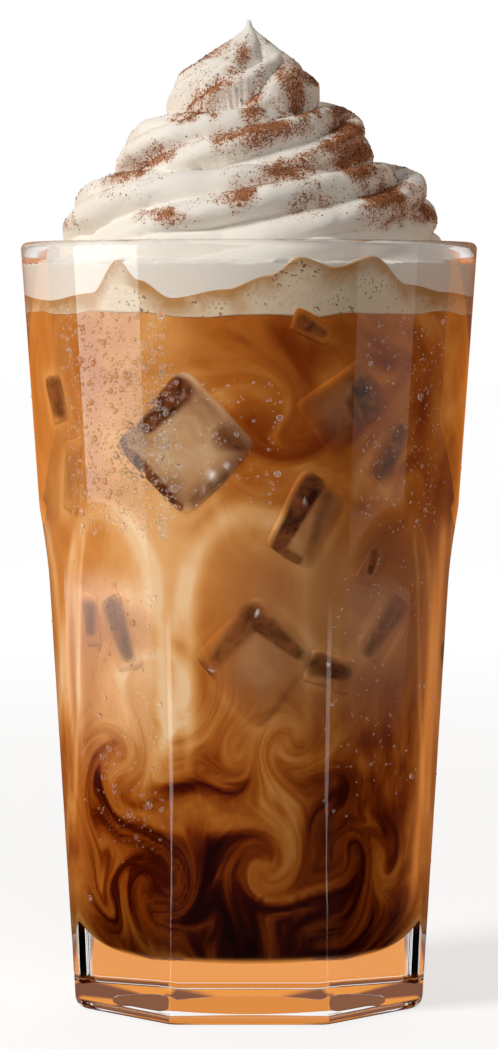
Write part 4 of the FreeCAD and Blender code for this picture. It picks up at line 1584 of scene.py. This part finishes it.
def softbox(name, place, towards, width, height, power, shade):
    """A square lamp that faces a point. It lights things, and doesn't show in them."""
    lamp = bpy.data.lights.new(name, "AREA")
    lamp.shape = "RECTANGLE"
    lamp.size, lamp.size_y = width, height
    lamp.energy, lamp.color = power, shade
    piece = bpy.data.objects.new(name, lamp)
    piece.location = place
    aim = np.array(towards) - np.array(place)
    tip = math.atan2(math.hypot(aim[0], aim[1]), -aim[2])
    piece.rotation_euler = (tip, 0, math.atan2(aim[1], aim[0]) - math.pi / 2)
    piece.visible_transmission = piece.visible_glossy = False
    bpy.context.scene.collection.objects.link(piece)
    return piece


def studio_world():
    """A white room, dim as a light on the part and where the outside of the glass mirrors it."""
    nodes = Nodes(bpy.data.worlds.new("studio"), "ShaderNodeOutputWorld")
    passed = nodes.between(nodes.light_path("Transmission Depth"), 0.9, 0.1)
    mirrored = nodes.light_path("Is Glossy Ray") * passed
    strength = first_sight(nodes) * (0.93 - 0.97 * mirrored) + 0.07
    white = {"Color": (1.0, 1.0, 1.0), "Strength": strength}
    bpy.context.scene.world = nodes.finish(nodes.add("ShaderNodeBackground", {}, white))


# Lamps: place and aim (m), width and height (m), power (W) and colour.
LAMPS = {
    "key": ((-0.80, -0.48, 0.75), (0, 0, 0.13), 0.30, 0.30, 9.0, (1.0, 0.97, 0.93)),
    "front": ((0.25, -0.95, 0.50), (0, 0, 0.10), 0.50, 0.50, 2.3, (1.0, 0.95, 0.90)),
    "back": ((0.10, 0.70, 0.75), (0, 0, 0.16), 0.50, 0.30, 1.3, (1.0, 0.92, 0.84)),
    "rim_left": ((-0.60, 0.30, 0.12), (0, 0, 0.10), 0.2, 0.4, 0.9, (1.0, 0.62, 0.35)),
    "rim_right": ((0.60, 0.30, 0.12), (0, 0, 0.10), 0.2, 0.4, 0.9, (1.0, 0.50, 0.22)),
}


# Cards around the back of the glass, seen through it and in it: first and last of 96 directions,
# foot and top (m) and colour.
ARCS = (
    ("amber_arc", 8, 41, 0.012, 0.10, (0.86, 0.27, 0.04)),
    ("brown_arc_right", 8, 22, 0.10, 0.42, (0.27, 0.115, 0.065)),
    ("golden_arc", 21, 28, 0.10, 0.42, (0.86, 0.31, 0.07)),
    ("brown_arc_left", 27, 41, 0.10, 0.42, (0.27, 0.115, 0.065)),
)

# Upright cards that only shine in the glass: from and to on the floor (m), foot and top (m),
# colour, strength, and the heights from which and to which the card fades in (m).
STRIP_SHADE, STRIP_FADE = (1.0, 0.95, 0.90), (-0.112, -0.165)
SHINES = (
    ("window_left", (-0.9, -0.60), (-0.9, 0.10), -0.2, 0.5, (0.90, 1.0, 0.98), 4.4, (-0.13, 0.01)),
    ("window_right", (0.9, -0.62), (0.9, 0.02), -0.2, 0.5, (1.0, 0.84, 0.70), 0.8, (-0.13, 0.01)),
    ("strip_left", (-0.88, -0.92), (-0.92, -0.88), -0.5, -0.1, STRIP_SHADE, 3.4, STRIP_FADE),
    ("strip_right", (0.88, -0.92), (0.92, -0.88), -0.5, -0.1, STRIP_SHADE, 2.2, STRIP_FADE),
)


class LATTE_OT_stage(bpy.types.Operator):
    """Makes the floor, the lights and the camera"""

    bl_idname = "latte.stage"
    bl_label = "Stage"

    def execute(self, context):
        scene = context.scene
        scene.view_settings.view_transform = "Standard"
        studio_world()
        wide = 6.0
        card(
            "floor",
            [(-wide, -wide, 0), (wide, -wide, 0), (wide, wide, 0), (-wide, wide, 0)],
            [(0, 1, 2, 3)],
            pale_floor(),
            ("camera", "diffuse", "transmission"),
        )
        spots = around(96)
        ring = turned_points(1.1, 0.0, spots)
        for name, first, last, low, high, shade in ARCS:
            part = ring[first:last]
            card(
                name,
                np.concatenate([part + (0, 0, low), part + (0, 0, high)]).tolist(),
                wrapped_grid_faces(2, last - first)[:-1].tolist(),
                glowing_card(name, shade, 0.9),
                ("transmission", "glossy"),
            )
        reach = np.linspace(0.0, 1.0, 12)[1:, None]
        pool = turned_points(0.16 * reach, 0.0006, spots[None, :])
        piece = card(
            "amber_pool",
            pool.reshape(-1, 3).tolist(),
            wrapped_grid_faces(11, 96).tolist(),
            amber_pool(),
            ("transmission",),
        )
        towards_panel = 0.5 + 0.5 * np.cos(4 * spots)[None, :] * np.ones_like(reach)
        layer = piece.data.attributes.new("gold", "FLOAT", "POINT")
        layer.data.foreach_set("value", towards_panel.astype(np.float32).ravel())
        for name, near, far, low, high, shade, strength, fade in SHINES:
            card(
                name,
                [(*near, low), (*far, low), (*far, high), (*near, high)],
                [(0, 1, 2, 3)],
                glowing_card(name, shade, strength, fade),
                ("glossy",),
            )
        for name, values in LAMPS.items():
            softbox(name, *values)
        lens = bpy.data.cameras.new("camera")
        lens.lens = 129.85
        lens.sensor_width = 36.0
        camera = bpy.data.objects.new("camera", lens)
        camera.location = (0, -0.750, 0.1377)
        camera.rotation_euler = (math.radians(90 - 3.32), 0, 0)
        scene.collection.objects.link(camera)
        scene.camera = camera
        return {"FINISHED"}


class LATTE_PT_panel(bpy.types.Panel):
    """Lists the steps that make the latte"""

    bl_idname = "LATTE_PT_panel"
    bl_label = "Iced Latte"
    bl_space_type = "VIEW_3D"
    bl_region_type = "UI"
    bl_category = "Latte"

    def draw(self, context):
        for group in GROUPS:
            box = self.layout.box()
            settings = getattr(context.scene, group)
            for prop in settings.bl_rna.properties:
                if prop.identifier not in ("rna_type", "name"):
                    box.prop(settings, prop.identifier)
        for operator in OPERATORS:
            self.layout.operator(operator.bl_idname)


GROUPS = {
    "latte_glass": LatteGlass,
    "latte_drink": LatteDrink,
    "latte_cream": LatteCream,
    "latte_foam": LatteFoam,
    "latte_droplets": LatteDroplets,
}
OPERATORS = (
    LATTE_OT_glass,
    LATTE_OT_drink,
    LATTE_OT_ice,
    LATTE_OT_foam,
    LATTE_OT_cream,
    LATTE_OT_droplets,
    LATTE_OT_stage,
)


def register():
    """Registers the classes and hangs the settings on the scene."""
    for each in (*GROUPS.values(), *OPERATORS, LATTE_PT_panel):
        bpy.utils.register_class(each)
    for name, group in GROUPS.items():
        setattr(bpy.types.Scene, name, PointerProperty(type=group))


def unregister():
    """Takes the settings and the classes away again."""
    for name in GROUPS:
        delattr(bpy.types.Scene, name)
    for each in reversed((*GROUPS.values(), *OPERATORS, LATTE_PT_panel)):
        bpy.utils.unregister_class(each)


def main():
    """Makes the latte and its stage."""
    register()
    for operator in OPERATORS:
        group, name = operator.bl_idname.split(".")
        getattr(getattr(bpy.ops, group), name)()


if __name__ == "__main__":
    main()
